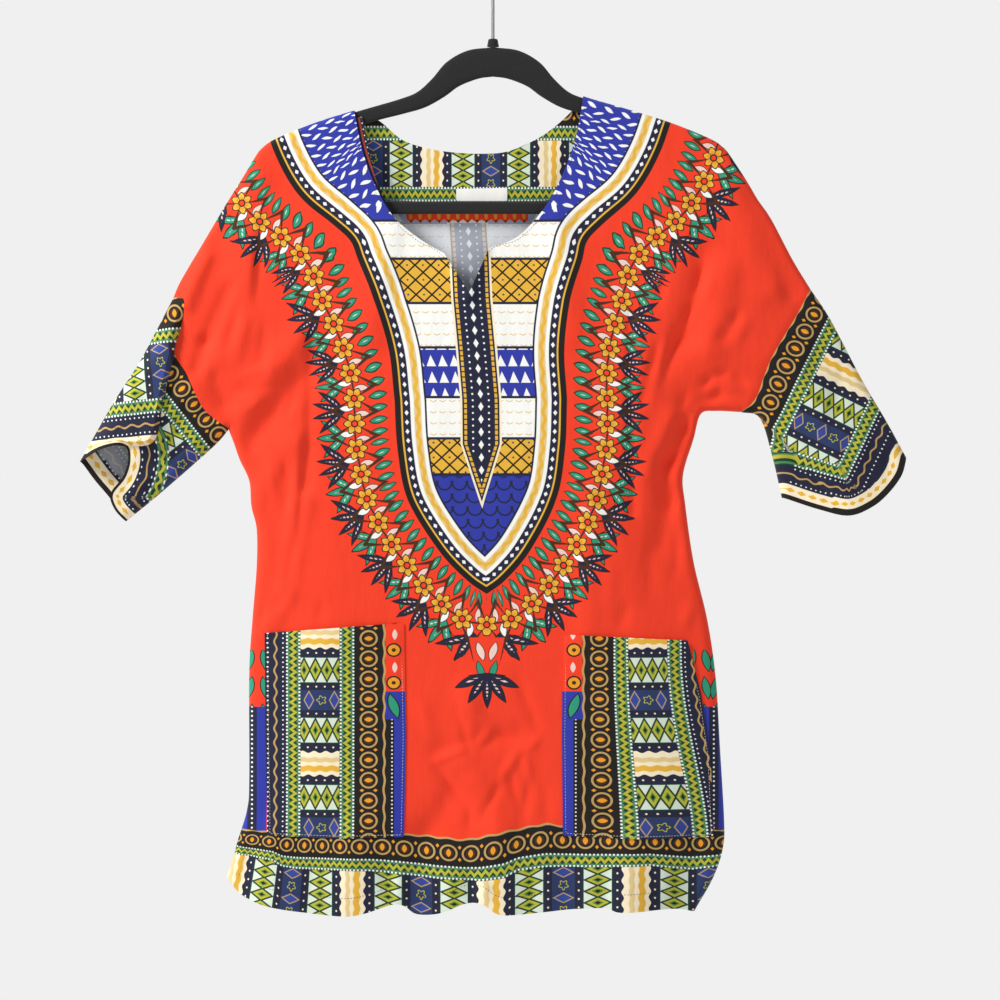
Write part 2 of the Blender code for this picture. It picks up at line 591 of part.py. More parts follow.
def build_front():
    """Build the front panel and the pockets that lie on it."""
    loops = {"pocket_right": pocket_loop(POCKET_RIGHT), "pocket_left": pocket_loop(POCKET_LEFT)}
    panel = Panel(panel_sections(FRONT_SEAMS, front_neck_line()), -1, FRONT_FOLDS,
                  list(loops.values()), FRONT_STEP)
    wall("front", panel.points, panel.triangles, panel.normals, CLOTH, "print")
    offset = CLOTH / 2 + LAY_GAP + POCKET_CLOTH / 2
    for name, loop in loops.items():
        points, triangles, normals = panel.patch(loop, offset, pocket_lift(loop))
        wall(name, points, triangles, normals, POCKET_CLOTH, "border")
    return panel


def back_facing_loop():
    """Return the back neck facing's outline, clear of the fold over the hanger's arms."""
    neck = back_neck_line()
    level = BACK_FACING_BELOW_SHOULDER
    start = neck[distance_to(FOLDED_EDGES[0], neck) > level]
    start = start[distance_to(FOLDED_EDGES[1], start) > level]
    lower = curve_through(BACK_FACING)
    lower = lower[np.minimum(distance_to(FOLDED_EDGES[0], lower),
                             distance_to(FOLDED_EDGES[1], lower)) > level]
    return start, lower


def back_neck_line():
    """Return the back neckline from the wearer's left to the right."""
    return curve_through([OVER["left"][0], *BACK_NECK[::-1], OVER["right"][0]], step=FINE_STEP)


def build_back():
    """Build the back panel, its neck facing and the label."""
    neck, lower = back_facing_loop()
    facing_mark = np.vstack([neck[-1:], lower, neck[:1]])
    facing_loop = np.vstack([neck, lower])
    label_loop = evenly([*LABEL, LABEL[0]], EDGE_STEP)
    panel = Panel(panel_sections(BACK_SEAMS, back_neck_line()), 1, BACK_FOLDS,
                  [facing_mark, label_loop], BACK_STEP)
    wall("back", panel.points, panel.triangles, panel.normals, CLOTH, "print")
    facing_offset = -(CLOTH / 2 + LAY_GAP + FACING_CLOTH / 2)
    points, triangles, normals = panel.patch(facing_loop, facing_offset)
    wall("neck_facing_back", points, triangles, normals, FACING_CLOTH, "border")
    points, triangles, normals = panel.patch(label_loop, facing_offset - LAY_GAP - FACING_CLOTH)
    wall("neck_label", points, triangles, normals, FACING_CLOTH, "label")
    return panel


def build_sleeve(side, front, back):
    """Build a sleeve as a tube: its front and back halves joined along their folded edges."""
    cuffs = {"right": (CUFF_FRONT_RIGHT, CUFF_BACK_RIGHT), "left": (CUFF_FRONT_LEFT, CUFF_BACK_LEFT)}
    points, triangles, seam_normals = [], [], {}
    for seams, cuff, panel in zip((FRONT_SEAMS, BACK_SEAMS), cuffs[side], (front, back)):
        over, under, seam = SLEEVE_OVER[side], SLEEVE_UNDER[side], seams[side]
        lift, marks = None, []
        if side == "right" and panel is front:
            lift, marks = overlap_lift, overlap_marks()
        sections = [("folded", join_start(over, seam[0])),
                    ("cuff", with_fine_ends(curve_through(cuff, FINE_STEP))),
                    ("folded", join_end(under, seam[-1])), ("seam", seam[::-1])]
        half = Panel(sections, panel.face, (), marks, SLEEVE_STEP, gap=0, lift=lift)
        triangles.append(half.triangles + sum(map(len, points)))
        points.append(half.points)
        for spot in seam:
            number = np.linalg.norm(half.cut - spot, axis=1).argmin() + sum(map(len, points[:-1]))
            seam_normals[number] = panel.normal_at(spot)
    points, triangles = np.vstack(points), np.vstack(triangles)
    normals = averaged_normals(points, triangles)
    for number, normal in seam_normals.items():
        normals[number] = normal
    points, triangles, normals = welded(points, triangles, normals)
    wall(f"sleeve_{side}", points, triangles, normals, CLOTH, "border")


def overlap_marks():
    """Return the lines that keep the step across the right sleeve crisp."""
    crest = curve_through(OVERLAP_CREST[2:], FINE_STEP)[:-1]
    return [crest, crest[1:] + OVERLAP_STEP * normals_of(crest)[1:]]


def welded(points, triangles, normals):
    """Join points that lie on each other, summing their normals."""
    keys = {}
    kept = np.array([keys.setdefault(tuple(np.round(point, 3)), len(keys)) for point in points])
    first = np.array([np.flatnonzero(kept == number)[0] for number in range(len(keys))])
    summed = np.zeros((len(keys), 3))
    np.add.at(summed, kept, normals)
    summed /= np.linalg.norm(summed, axis=1)[:, None]
    return points[first], kept[triangles], summed


def build_front_facing():
    """Build the narrow strip of facing that shows beside the neckline's right side."""
    edge = curve_through([OVER["right"][0], *FRONT_NECK_RIGHT[:3]], step=FINE_STEP)
    edge = edge[distance_to(OVER["right"], edge) > STRIP_BELOW_SHOULDER]
    outwards = normals_of(edge)
    rows = []
    y = cloth_y(edge, -1) + CLOTH / 2 + LAY_GAP + FACING_CLOTH / 2
    narrowing = 1 - smoothstep(np.linspace(0, 1, len(edge)))
    for reach in (-STRIP_TUCK, -STRIP_BEHIND, STRIP_SHOWS_LEAST + STRIP_SHOWS * narrowing):
        spots = edge - outwards * np.reshape(reach, (-1, 1))
        rows.append(np.column_stack([spots[:, 0], y, spots[:, 1]]))
    points = np.vstack(rows)
    size = len(edge)
    triangles = []
    for row in range(2):
        for i in range(size - 1):
            a, b = row * size + i, row * size + i + 1
            triangles += [(a, b, b + size), (a, b + size, a + size)]
    triangles = np.array(triangles)
    normals = averaged_normals(points, triangles)
    wall("neck_facing_front", points, triangles, normals, FACING_CLOTH, "navy")


# ---------------------------------------------------------------- the hanger

def build_hanger():
    """Build the flat closed loop of the hanger from its sections."""
    rows = np.array(HANGER_SECTIONS, dtype=float)
    half = curve_through(rows, count=56)
    mirrored = half[1:-1][::-1] * (-1, 1, -1, 1)
    loop = np.vstack([half, mirrored])
    vertices = []
    for outer_across, outer_drop, inner_across, inner_drop in loop:
        outer = np.array([outer_across, outer_drop])
        inner = np.array([inner_across, inner_drop])
        inward = (inner - outer) / np.linalg.norm(inner - outer)
        for spot, y in (
                (outer, HANGER_HALF - HANGER_EDGE), (outer + inward * HANGER_EDGE, HANGER_HALF),
                (inner - inward * HANGER_EDGE, HANGER_HALF), (inner, HANGER_HALF - HANGER_EDGE),
                (inner, HANGER_EDGE - HANGER_HALF), (inner - inward * HANGER_EDGE, -HANGER_HALF),
                (outer + inward * HANGER_EDGE, -HANGER_HALF), (outer, HANGER_EDGE - HANGER_HALF)):
            vertices.append((spot[0], y, spot[1]))
    sides, count, faces = 8, len(loop), []
    for row in range(count):
        following = (row + 1) % count
        for i in range(sides):
            j = (i + 1) % sides
            faces.append((row * sides + i, following * sides + i,
                          following * sides + j, row * sides + j))
    make_object("hanger_frame", to_world(vertices), faces, "flock")


def build_collar():
    """Build the small round collar on top of the hanger's arch."""
    mesh = bmesh.new()
    bmesh.ops.create_cone(mesh, cap_ends=True, segments=COLLAR_SIDES, radius1=COLLAR_WIDTH / 2 * MM,
                          radius2=COLLAR_TAPER * COLLAR_WIDTH / 2 * MM, depth=COLLAR_HEIGHT * MM)
    bmesh.ops.scale(mesh, vec=(1, COLLAR_DEPTH / COLLAR_WIDTH, 1), verts=mesh.verts)
    top = [edge for edge in mesh.edges if all(v.co.z > 0 for v in edge.verts)]
    bmesh.ops.bevel(mesh, geom=top, offset=COLLAR_ROUND * MM, segments=2, profile=0.5, affect="EDGES")
    collar = make_object("hanger_collar", [], [], "flock")
    mesh.to_mesh(collar.data)
    mesh.free()
    collar.data.shade_smooth()
    collar.data.set_sharp_from_angle(angle=math.radians(SMOOTH_ANGLE))
    base = SHOULDER_LEVEL + HANGER_SECTIONS[0].outer_drop - GAP
    collar.location = (0, 0, -(base - COLLAR_HEIGHT / 2) * MM)


def build_hook():
    """Build the wire hook: a straight stem, a short bend and the arc over the rail."""
    centre = WIRE_RADIUS - HOOK_RADIUS
    bend = centre - math.sqrt(HOOK_RADIUS ** 2 + 2 * HOOK_RADIUS * HOOK_NECK_RADIUS)
    collar_top = -(SHOULDER_LEVEL + HANGER_SECTIONS[0].outer_drop - GAP - COLLAR_HEIGHT)
    path = [(0, collar_top + GAP)]
    path += [(0, z) for z in np.linspace(collar_top + STEM_FROM, bend - STEM_TO, STEM_POINTS)]
    turn = math.atan2(centre - bend, HOOK_NECK_RADIUS)
    for angle in np.linspace(math.pi, math.pi - turn, HOOK_BEND_POINTS):
        path.append((HOOK_NECK_RADIUS * (1 + math.cos(angle)), bend + HOOK_NECK_RADIUS * math.sin(angle)))
    for angle in np.linspace(-turn, math.radians(HOOK_TIP_ANGLE), HOOK_ARC_POINTS)[1:]:
        path.append((HOOK_RADIUS * math.cos(angle), centre + HOOK_RADIUS * math.sin(angle)))
    curve = bpy.data.curves.new("hanger_hook", "CURVE")
    curve.dimensions = "3D"
    curve.bevel_depth = WIRE_RADIUS * MM
    curve.bevel_resolution = 2
    curve.use_fill_caps = True
    spline = curve.splines.new("POLY")
    spline.points.add(len(path) - 1)
    for point, (x, z) in zip(spline.points, path):
        point.co = (x * MM, 0, z * MM, 1)
    curve.materials.append(make_material(FINISHES["steel"]))
    hook = bpy.data.objects.new("hanger_hook", curve)
    bpy.context.scene.collection.objects.link(hook)


def main():
    """Clear the scene and build the shirt and its hanger."""
    for old in list(bpy.data.objects):
        bpy.data.objects.remove(old)
    front = build_front()
    back = build_back()
    build_sleeve("right", front, back)
    build_sleeve("left", front, back)
    build_front_facing()
    build_hanger()
    build_collar()
    build_hook()


main()
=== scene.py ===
"""The finished surfaces of a printed cotton dashiki shirt on a slim flocked hanger.

The garment is set out in millimetres on the hanger's centre line: `across` runs towards the
wearer's left (+X), `drop` runs down from the high shoulder point, and `y` runs from the front of
the garment to its back.  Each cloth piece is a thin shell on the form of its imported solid.  The
print is worked out from coordinates that are stored on the cloth, in the cloth's own millimetres.
"""

from __future__ import annotations

import logging
import math
from collections.abc import Callable, Sequence
from dataclasses import dataclass, field
from enum import Enum
from typing import NamedTuple, Optional, Union

import bpy
import numpy as np
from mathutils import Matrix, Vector
from mathutils.geometry import delaunay_2d_cdt
from mathutils.kdtree import KDTree


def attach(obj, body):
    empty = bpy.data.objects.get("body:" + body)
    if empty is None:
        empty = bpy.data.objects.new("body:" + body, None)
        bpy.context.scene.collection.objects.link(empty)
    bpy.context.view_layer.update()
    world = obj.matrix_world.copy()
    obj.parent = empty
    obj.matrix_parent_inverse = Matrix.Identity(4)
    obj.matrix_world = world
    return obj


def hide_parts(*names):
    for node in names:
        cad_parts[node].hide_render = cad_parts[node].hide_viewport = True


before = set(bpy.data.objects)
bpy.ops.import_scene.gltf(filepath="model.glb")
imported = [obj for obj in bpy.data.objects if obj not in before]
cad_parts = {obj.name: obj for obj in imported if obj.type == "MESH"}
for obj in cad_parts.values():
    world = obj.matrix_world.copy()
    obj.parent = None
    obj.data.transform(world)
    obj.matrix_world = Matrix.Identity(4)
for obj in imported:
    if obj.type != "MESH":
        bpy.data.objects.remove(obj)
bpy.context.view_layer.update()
LOG = logging.getLogger("dashiki")

MM = 0.001
FULL_TURN = 2 * math.pi
SHOULDER_LEVEL = 149.0       # from the hook's bearing point down to the high shoulder point
BODY = "root"
SIDES = ("right", "left")

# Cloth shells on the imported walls
OUTER_FACE = 0.62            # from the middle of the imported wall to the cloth's outer face
CLOTH = 0.45                 # thickness of the shell that shows
TURNED_CLOTH = 1.0           # and where a hem is turned
TURNING = 19.0               # how wide the turned hems are
FACING_SEAT = -1.55          # the back facing's middle, from the panel's middle
LABEL_SEAT = -2.55
POCKET_SEAT = 1.05           # the pocket's middle where it is sewn down
POCKET_BODY = 1.75           # and in its free middle
POCKET_GAPE = 2.5            # how far a pocket's mouth stands off
SEAM_ROOM = 0.15
SEAM_VALLEY = 0.9            # how deep the cloth dips at a sewn seam
SEAM_REACH = 2.2
SHOULDER_SEAT = 1.2
HANGER_LEFT_AT = 52.0        # the drop at which the cloth leaves the hanger's ends
ON_EDGE = 0.02
CRISP_FROM = 40.0            # the angle in degrees from which an edge stays crisp
FOLD_CLEAR = 14.0
GOLD_LINE_WAVE = 19.0        # the length of a wave in the border's gold line
PLAIN_NAVY = 33.0            # beyond the blocks, where only the cuff's own bands follow
DEPTH_REACH = 75.0
EDGE_BANDS = (0.5, 1.4, 2.8, 4.6)   # rows of points beside a folded edge
ROW_ROOM = 0.9               # of those rows' own distance, from the rest of the outline
OUTLINE_ROOM = 0.5           # of a cut's step, from the outline to a loose point
POINT_ROOM = 0.62            # and from any other point
CREASE_END = 0.2             # how much of its height a fine crease has at its ends
CHUNK = 2000                 # points measured at a time
CREASE_DEPTH = 1.45          # of the fine creases, against their tables

Points = np.ndarray
Rows = Sequence[Sequence[float]]     # of points (across, drop), unless a table says otherwise
Colour = tuple[float, float, float, float]
Size = tuple[float, float, float]    # a cut's width, length and area, in metres


class Face(Enum):
    """The side of the flattened tube that a piece lies on."""

    FRONT = -1
    BACK = 1


# The hanger's flat loop: outer across and drop, inner across and drop
HANGER_SECTIONS = (
    (0, -54, 0, -26), (24, -51, 14, -24), (44, -40, 32, -17), (58, -24, 46, -7), (72, -11.5, 64, 3),
    (88, -5, 84, 9), (110, 1.5, 106, 14.5), (129, 7, 125, 20), (166, 18.5, 162, 31), (200, 32, 195, 43.5),
    (216, 41, 209, 51), (226, 54, 216, 60), (228.5, 68, 217.5, 69), (226, 82, 215.5, 78),
    (218, 94, 209, 86), (205, 102, 200, 91), (188, 104.5, 186, 92.5), (90, 104.5, 90, 92.5),
    (0, 104.5, 0, 92.5))
# The hanging tube: drop, half depth of the front and of the back, and how round its edges are
DEPTH_ROWS = (
    (-20, 5.4, 5.4, 5.2), (20, 5.6, 5.8, 5.2), (60, 7.0, 7.5, 5.2), (110, 9.5, 8.5, 5.4),
    (200, 13.0, 10.0, 6.0), (320, 16.0, 11.5, 7.0), (480, 16.0, 12.0, 7.5), (640, 18.0, 14.0, 8.5),
    (770, 21.0, 16.0, 9.0))

# Outer line below the hanger's end, down the sleeve, under it, and down the side
OVER_RIGHT = ((-239, 73), (-251, 92), (-273, 129), (-296, 168), (-303, 184))
OVER_LEFT = ((241, 74), (251, 91), (264, 110), (284, 148), (301, 176))
SLEEVE_OVER_RIGHT = ((-303, 184), (-334, 243), (-359, 282), (-392, 340))
SLEEVE_OVER_LEFT = ((301, 176), (320, 205), (350, 262), (374, 303), (392, 336))
SLEEVE_UNDER_RIGHT = ((-349, 396), (-316, 369), (-266, 325), (-251, 308))
SLEEVE_UNDER_LEFT = ((275, 374), (266, 335), (254, 298), (235, 292))
SIDE_RIGHT = (
    (-251, 308), (-246, 321), (-240, 338), (-231, 358), (-229, 382), (-224, 404), (-224, 440), (-228, 490),
    (-231, 540), (-231, 640), (-233, 670), (-242, 700), (-246, 715), (-252, 734))
SIDE_LEFT = (
    (235, 292), (212, 291), (197, 294), (190, 318), (180, 352), (182, 380), (190, 435), (203, 490),
    (211, 545), (215, 610), (219, 680), (218, 706), (209, 734), (191, 766))
HEM = (
    (-252, 734), (-237, 750), (-206, 761), (-148, 768), (-122, 766), (-96, 758), (-84, 759), (-72, 767),
    (-50, 766), (-27, 757), (-10, 757), (4, 766), (22, 767), (79, 762), (107, 761), (121, 765), (169, 763),
    (191, 766))
NECK_ENDS = {"right": -129.0, "left": 85.0}   # where the neckline leaves the hanger's arms
FRONT_NECK_RIGHT = ((-124, 44), (-112, 77), (-95, 107), (-71, 128), (-46, 143))
FRONT_NECK_LEFT = ((78, 34), (64, 72), (47, 102), (23, 127), (-4, 138))
SLIT_END = (-22.5, 180)
BACK_NECK = ((-109, 15), (-87, 33), (-64, 41), (-40, 45), (-12, 46.5), (15, 44), (46, 30), (69, 12))
BACK_FACING = (
    (-149, 20), (-141, 62), (-118, 86), (-80, 91.5), (-35, 91.5), (20, 91.5), (62, 88), (92, 64), (102, 8))
BACK_FACING_BELOW_SHOULDER = 4.5
STRIP_BELOW_SHOULDER = 5.5
LABEL = ((-35, 80), (-35, 91.5), (13.5, 91.5), (13.5, 79))
SEAM_FRONT_RIGHT = (
    (-303, 184), (-297, 185), (-292, 188), (-296, 212), (-302, 236), (-290, 257), (-276, 287), (-263, 300),
    (-251, 308))
SEAM_FRONT_LEFT = ((301, 176), (289, 199), (266, 237), (257, 258), (251, 276), (244, 286), (235, 292))
SEAM_BACK_RIGHT = ((-303, 184), (-291, 216), (-281, 248), (-267, 282), (-251, 308))
SEAM_BACK_LEFT = ((301, 176), (286, 205), (270, 236), (255, 266), (235, 292))
CUFF_FRONT_RIGHT = (
    (-392, 340), (-370, 328), (-349, 325), (-345, 337), (-350, 354), (-362, 370), (-359, 384), (-349, 396))
CUFF_BACK_RIGHT = ((-392, 340), (-379, 358), (-364, 376), (-356, 390), (-349, 396))
CUFF_FRONT_LEFT = ((392, 336), (387, 353), (374, 370), (358, 383), (336, 391), (308, 385), (275, 374))
CUFF_BACK_LEFT = ((392, 336), (382, 350), (368, 364), (350, 377), (330, 383), (302, 378), (275, 374))
OVERLAP_CREST = ((-292, 188), (-297, 212), (-302, 236), (-312, 280), (-321, 320), (-349, 325))
OVERLAP_START = (-297, 186)
OVERLAP_BESIDE_SEAM = ((-284, 182), (-289, 212))   # on the body's side of the seam
OVERLAP_RISE = 8.0
OVERLAP_STEP = 4.0
OVERLAP_FADE = 34.0
POCKETS = {
    "right": ((-216, 502), (-84, 492), (-82, 600), (-84, 694), (-150, 695), (-213, 693), (-215, 600)),
    "left": ((66, 503), (184, 509), (197, 560), (206, 620), (209, 695), (140, 696), (66, 693), (65, 600))}
POCKET_LEAN = ((0, 0), (36, 7), (62, 13), (98, 24), (124, 27))   # of its columns, at its foot

# Soft ridges, and troughs where the rise is negative: from across and drop, to across and drop,
# width, rise
FRONT_FOLDS = (
    # darts, side and armpits
    (-172, 222, -174, 364, 5, -2.2), (130, 200, 132, 388, 5, -2.2), (-180, 380, -194, 458, 12, 3.0),
    (-196, 470, -216, 500, 10, 2.5), (-238, 296, -182, 222, 13, 4.5), (-232, 326, -184, 262, 11, -3.5),
    (-225, 372, -186, 318, 11, 3.0), (-250, 176, -272, 226, 8, -3.5), (-272, 226, -281, 254, 7, -3.5),
    (-274, 146, -291, 190, 9, 5.0), (-262, 262, -254, 284, 8, -2.5), (-226, 74, -240, 168, 17, 3.0),
    (226, 74, 258, 176, 17, 3.0), (200, 146, 181, 222, 12, -3.5), (181, 222, 166, 246, 12, -3.0),
    (222, 160, 206, 232, 14, 3.0), (212, 276, 182, 308, 9, -3.0), (182, 308, 164, 342, 10, -4.0),
    (168, 300, 148, 350, 10, 3.5), (164, 342, 167, 378, 10, -3.5), (167, 378, 158, 420, 11, -3.0),
    (92, 366, 90, 500, 14, 2.5), (-100, 122, -118, 220, 16, 2.5), (60, 112, 74, 220, 16, 2.5),
    (-40, 146, -24, 182, 7, 2.5), (-10, 142, -21, 182, 7, 2.5),
    # skirt and hem
    (-22, 556, -28, 640, 12, 2.5), (-30, 640, -62, 692, 12, -2.5), (-14, 640, 10, 690, 12, 2.5),
    (-50, 612, 24, 596, 10, -2.0), (-206, 690, -214, 756, 17, 4.0), (-132, 700, -136, 766, 18, 4.5),
    (-66, 696, -70, 768, 17, -3.5), (0, 690, 6, 768, 19, 4.0), (70, 700, 72, 768, 17, -3.5),
    (128, 700, 134, 768, 18, 4.0), (190, 690, 184, 760, 14, -3.0))
BACK_FOLDS = (
    (-150, 120, -172, 300, 24, 3.0), (128, 116, 142, 290, 22, 3.0), (-20, 150, -14, 420, 28, -3.0),
    (-236, 300, -160, 230, 13, 4.0), (-226, 330, -150, 286, 12, -3.0), (188, 300, 124, 236, 13, 4.0),
    (182, 334, 116, 300, 12, -3.0), (-150, 470, -166, 766, 22, 3.5), (-86, 430, -92, 766, 20, -3.5),
    (-18, 480, -12, 768, 24, 4.0), (58, 440, 64, 768, 20, -3.5), (134, 470, 146, 766, 22, 3.5))
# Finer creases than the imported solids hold, in the same columns
FRONT_CREASES = (
    # between the wearer's right shoulder and the armpit
    (-220, 117, -224, 191, 4.5, -1.6), (-228, 120, -231, 186, 5, 1.1), (-240, 189, -253, 237, 5, -1.6),
    (-232, 198, -244, 246, 6, 1.3), (-214, 205, -220, 252, 5, -1.0), (-206, 232, -212, 262, 4.5, 0.9),
    (-246, 262, -206, 250, 5, 1.2), (-248, 274, -200, 268, 4.5, -1.1), (-238, 292, -214, 282, 4.5, 1.0),
    (-176, 313, -185, 424, 4, -1.8), (-183, 318, -192, 420, 5, 1.5), (-186, 275, -196, 300, 4.5, -1.1),
    (-200, 330, -192, 362, 5, -1.3), (-192, 362, -196, 388, 5, -1.1), (-210, 346, -205, 388, 5, 1.1),
    (-188, 409, -195, 462, 4.5, -1.6), (-196, 462, -208, 482, 5, -1.4), (-214, 404, -212, 452, 6, 1.0),
    (-218, 476, -222, 496, 5, -1.2), (-160, 470, -164, 492, 6, -0.8),
    # on the wearer's left chest and side
    (200, 151, 190, 186, 4, -2.0), (190, 186, 180, 215, 4, -2.2), (180, 215, 168, 241, 4.5, -2.0),
    (210, 156, 199, 196, 5, 1.3), (233, 196, 225, 212, 5, -1.5), (225, 212, 211, 229, 7, -1.8),
    (241, 204, 228, 228, 6, 1.2), (157, 224, 146, 265, 4.5, -1.7), (146, 265, 138, 291, 5, -1.4),
    (173, 215, 159, 269, 4.5, -1.2), (166, 222, 152, 272, 5, 1.2), (197, 269, 209, 257, 4.5, -1.8),
    (209, 257, 225, 256, 4.5, -1.8), (225, 256, 243, 268, 4.5, -1.6), (200, 277, 214, 267, 4, 1.3),
    (214, 267, 232, 272, 4, 1.2), (184, 272, 176, 294, 4.5, -1.3), (176, 329, 160, 348, 4.5, -1.6),
    (160, 348, 159, 376, 5, -1.5), (170, 340, 172, 372, 5, 1.2), (163, 160, 156, 193, 5, -1.3),
    (273, 174, 288, 189, 5, -1.1), (262, 150, 270, 188, 6, 0.9), (178, 396, 172, 452, 6, -1.3),
    (190, 470, 180, 500, 6, 1.1), (148, 420, 150, 476, 7, -1.0), (112, 430, 108, 490, 7, 0.9),
    (128, 470, 120, 500, 6, -0.9),
    # the skirt between the pockets, pressed in star-shaped creases
    (-58, 623, -22, 668, 4, -1.9), (-58, 624, -22, 609, 3.8, 1.6), (-31, 580, -22, 616, 4, -1.6),
    (-15, 609, -1, 592, 3.8, 1.7), (-1, 592, 26, 609, 3.8, -1.8), (26, 609, 7, 642, 4, 1.9),
    (7, 642, -12, 680, 4.2, -1.9), (13, 628, 26, 671, 4, -1.6), (30, 614, 35, 642, 4.2, 1.4),
    (35, 642, 28, 680, 4.2, -1.4), (21, 538, 45, 599, 5, -1.3), (45, 599, 30, 614, 4, 1.2),
    (-36, 557, -2, 585, 4.5, 1.1), (-22, 668, -22, 690, 4, -1.2), (-70, 560, -58, 600, 6, 0.9),
    (48, 640, 52, 688, 6, -0.9),
    # the pulls above the hem's waves
    (-102, 716, -97, 757, 6, -2.0), (-88, 722, -86, 758, 6, 1.9), (-44, 730, -38, 764, 6, 1.6),
    (-24, 722, -19, 757, 6, -2.2), (-8, 730, -6, 757, 5, 1.6), (36, 730, 40, 764, 7, -1.4),
    (104, 726, 108, 761, 7, -1.6), (160, 716, 164, 762, 8, 1.5), (-170, 716, -176, 764, 8, -1.7),
    (-228, 704, -240, 744, 7, -1.6))
BACK_CREASES = (
    (-206, 124, -214, 206, 5, -1.5), (-196, 150, -202, 214, 5.5, 1.1), (-232, 214, -206, 262, 5, 1.3),
    (-214, 276, -178, 258, 5, -1.4), (-190, 320, -196, 400, 5, 1.4), (-176, 352, -184, 438, 5, -1.5),
    (-120, 300, -112, 372, 7, -1.0), (178, 128, 190, 210, 5, -1.6), (202, 176, 188, 232, 5.5, 1.3),
    (150, 250, 176, 280, 5, -1.4), (146, 330, 158, 410, 5, 1.3), (162, 380, 156, 452, 5.5, -1.3),
    (86, 300, 80, 380, 7, 1.0), (-60, 560, -24, 604, 4.5, -1.5), (-24, 604, -48, 652, 4.5, 1.4),
    (10, 572, -24, 604, 4.2, -1.3), (40, 600, 66, 660, 5, 1.3), (90, 560, 104, 616, 6, -1.2),
    (-128, 600, -104, 660, 6, 1.2), (-196, 560, -184, 640, 7, -1.2), (-100, 706, -104, 760, 7, 1.6),
    (28, 700, 32, 764, 7, -1.6), (112, 700, 108, 760, 7, 1.5), (168, 690, 166, 762, 8, -1.5))
SLEEVE_CREASES = (
    (-334, 262, -318, 306, 5, -1.3), (-352, 296, -336, 318, 5, 1.1), (-286, 286, -322, 344, 5, -1.3),
    (-272, 306, -306, 352, 5, 1.2), (-322, 350, -344, 372, 5, 1.4), (252, 298, 328, 381, 5, -2.4),
    (262, 296, 330, 366, 7, 1.6), (300, 210, 290, 262, 7, 1.2), (330, 252, 318, 320, 7, -1.3),
    (352, 300, 346, 352, 7, 1.2), (376, 326, 372, 356, 6, -1.1))

# ------------------------------------------------------------------ lines on the cut plane


def through(points: Rows, step: float) -> Points:
    """Draw a smooth curve through some points.

    Args:
        points: The points that the curve passes.
        step: The distance between the points returned, in millimetres.

    Returns:
        Evenly spaced points, both ends included.
    """
    rows = np.array(points, dtype=float)
    padded = np.vstack([2 * rows[0] - rows[1], rows, 2 * rows[-1] - rows[-2]])
    t = np.linspace(0, 1, 24, endpoint=False)[:, None]
    dense = [0.5 * (2 * b + (c - a) * t + (2 * a - 5 * b + 4 * c - d) * t ** 2
                    + (3 * b - a - 3 * c + d) * t ** 3)
             for a, b, c, d in zip(padded, padded[1:], padded[2:], padded[3:])]
    return evenly(np.vstack(dense + [rows[-1:]]), step)


def evenly(line: Rows, step: float) -> Points:
    """Return points at even distances along a polyline, its ends included."""
    line = np.array(line, dtype=float)
    travelled = lengths_along(line)
    return at_lengths(line, np.linspace(0, travelled[-1], max(2, round(travelled[-1] / step) + 1)))


def lengths_along(line: Points) -> Points:
    """Return how far along a polyline each of its points is."""
    return np.concatenate([[0], np.cumsum(np.linalg.norm(np.diff(line, axis=0), axis=1))])


def at_lengths(line: Points, wanted: Sequence[float]) -> Points:
    """Return the points at some distances along a polyline."""
    travelled = lengths_along(line)
    return np.column_stack([np.interp(wanted, travelled, column) for column in line.T])


def with_fine_ends(line: Points) -> Points:
    """Return a line with extra points near its ends, where it meets folded edges."""
    travelled = lengths_along(line)
    clear = EDGE_BANDS[-1] + 1
    wanted = [0, *EDGE_BANDS, *(travelled[-1] - np.array(EDGE_BANDS)), travelled[-1]]
    wanted += [t for t in travelled if clear < t < travelled[-1] - clear]
    return at_lengths(line, sorted(wanted))


def closed(line: Points) -> Points:
    """Return a line with its first point again at its end."""
    return np.vstack([line, line[:1]])


def read(table: Rows, places: Points) -> Points:
    """Read a table of places and values at some places."""
    return np.interp(places, *np.transpose(table))


def left_of(line: Points) -> Points:
    """Return the left-hand unit normals along a polyline."""
    along = np.gradient(line, axis=0)
    along /= np.linalg.norm(along, axis=1)[:, None]
    return np.column_stack([-along[:, 1], along[:, 0]])


def nearest_on(line: Points, points: Points) -> tuple[Points, Points]:
    """Find the nearest place on a polyline for each point.

    Args:
        line: The polyline.
        points: The points to measure.

    Returns:
        Each point's distance to the line, and how far along the line its nearest place is.
    """
    start, leg = line[:-1], np.diff(line, axis=0)
    travelled = lengths_along(line)
    size = np.linalg.norm(leg, axis=1)
    distances, places = [np.zeros(0)], [np.zeros(0)]
    for first in range(0, len(points), CHUNK):
        offset = points[first:first + CHUNK, None, :] - start[None]
        share = np.clip((offset * leg).sum(2) / size ** 2, 0, 1)
        away = np.linalg.norm(offset - share[..., None] * leg, axis=2)
        best = away.argmin(1)
        rows = np.arange(len(best))
        distances.append(away[rows, best])
        places.append(travelled[best] + share[rows, best] * size[best])
    return np.concatenate(distances), np.concatenate(places)


def distance_to(points: Points, *lines: Points) -> Points:
    """Return each point's distance to the nearest of some polylines."""
    return np.min([nearest_on(line, points)[0] for line in lines], axis=0)


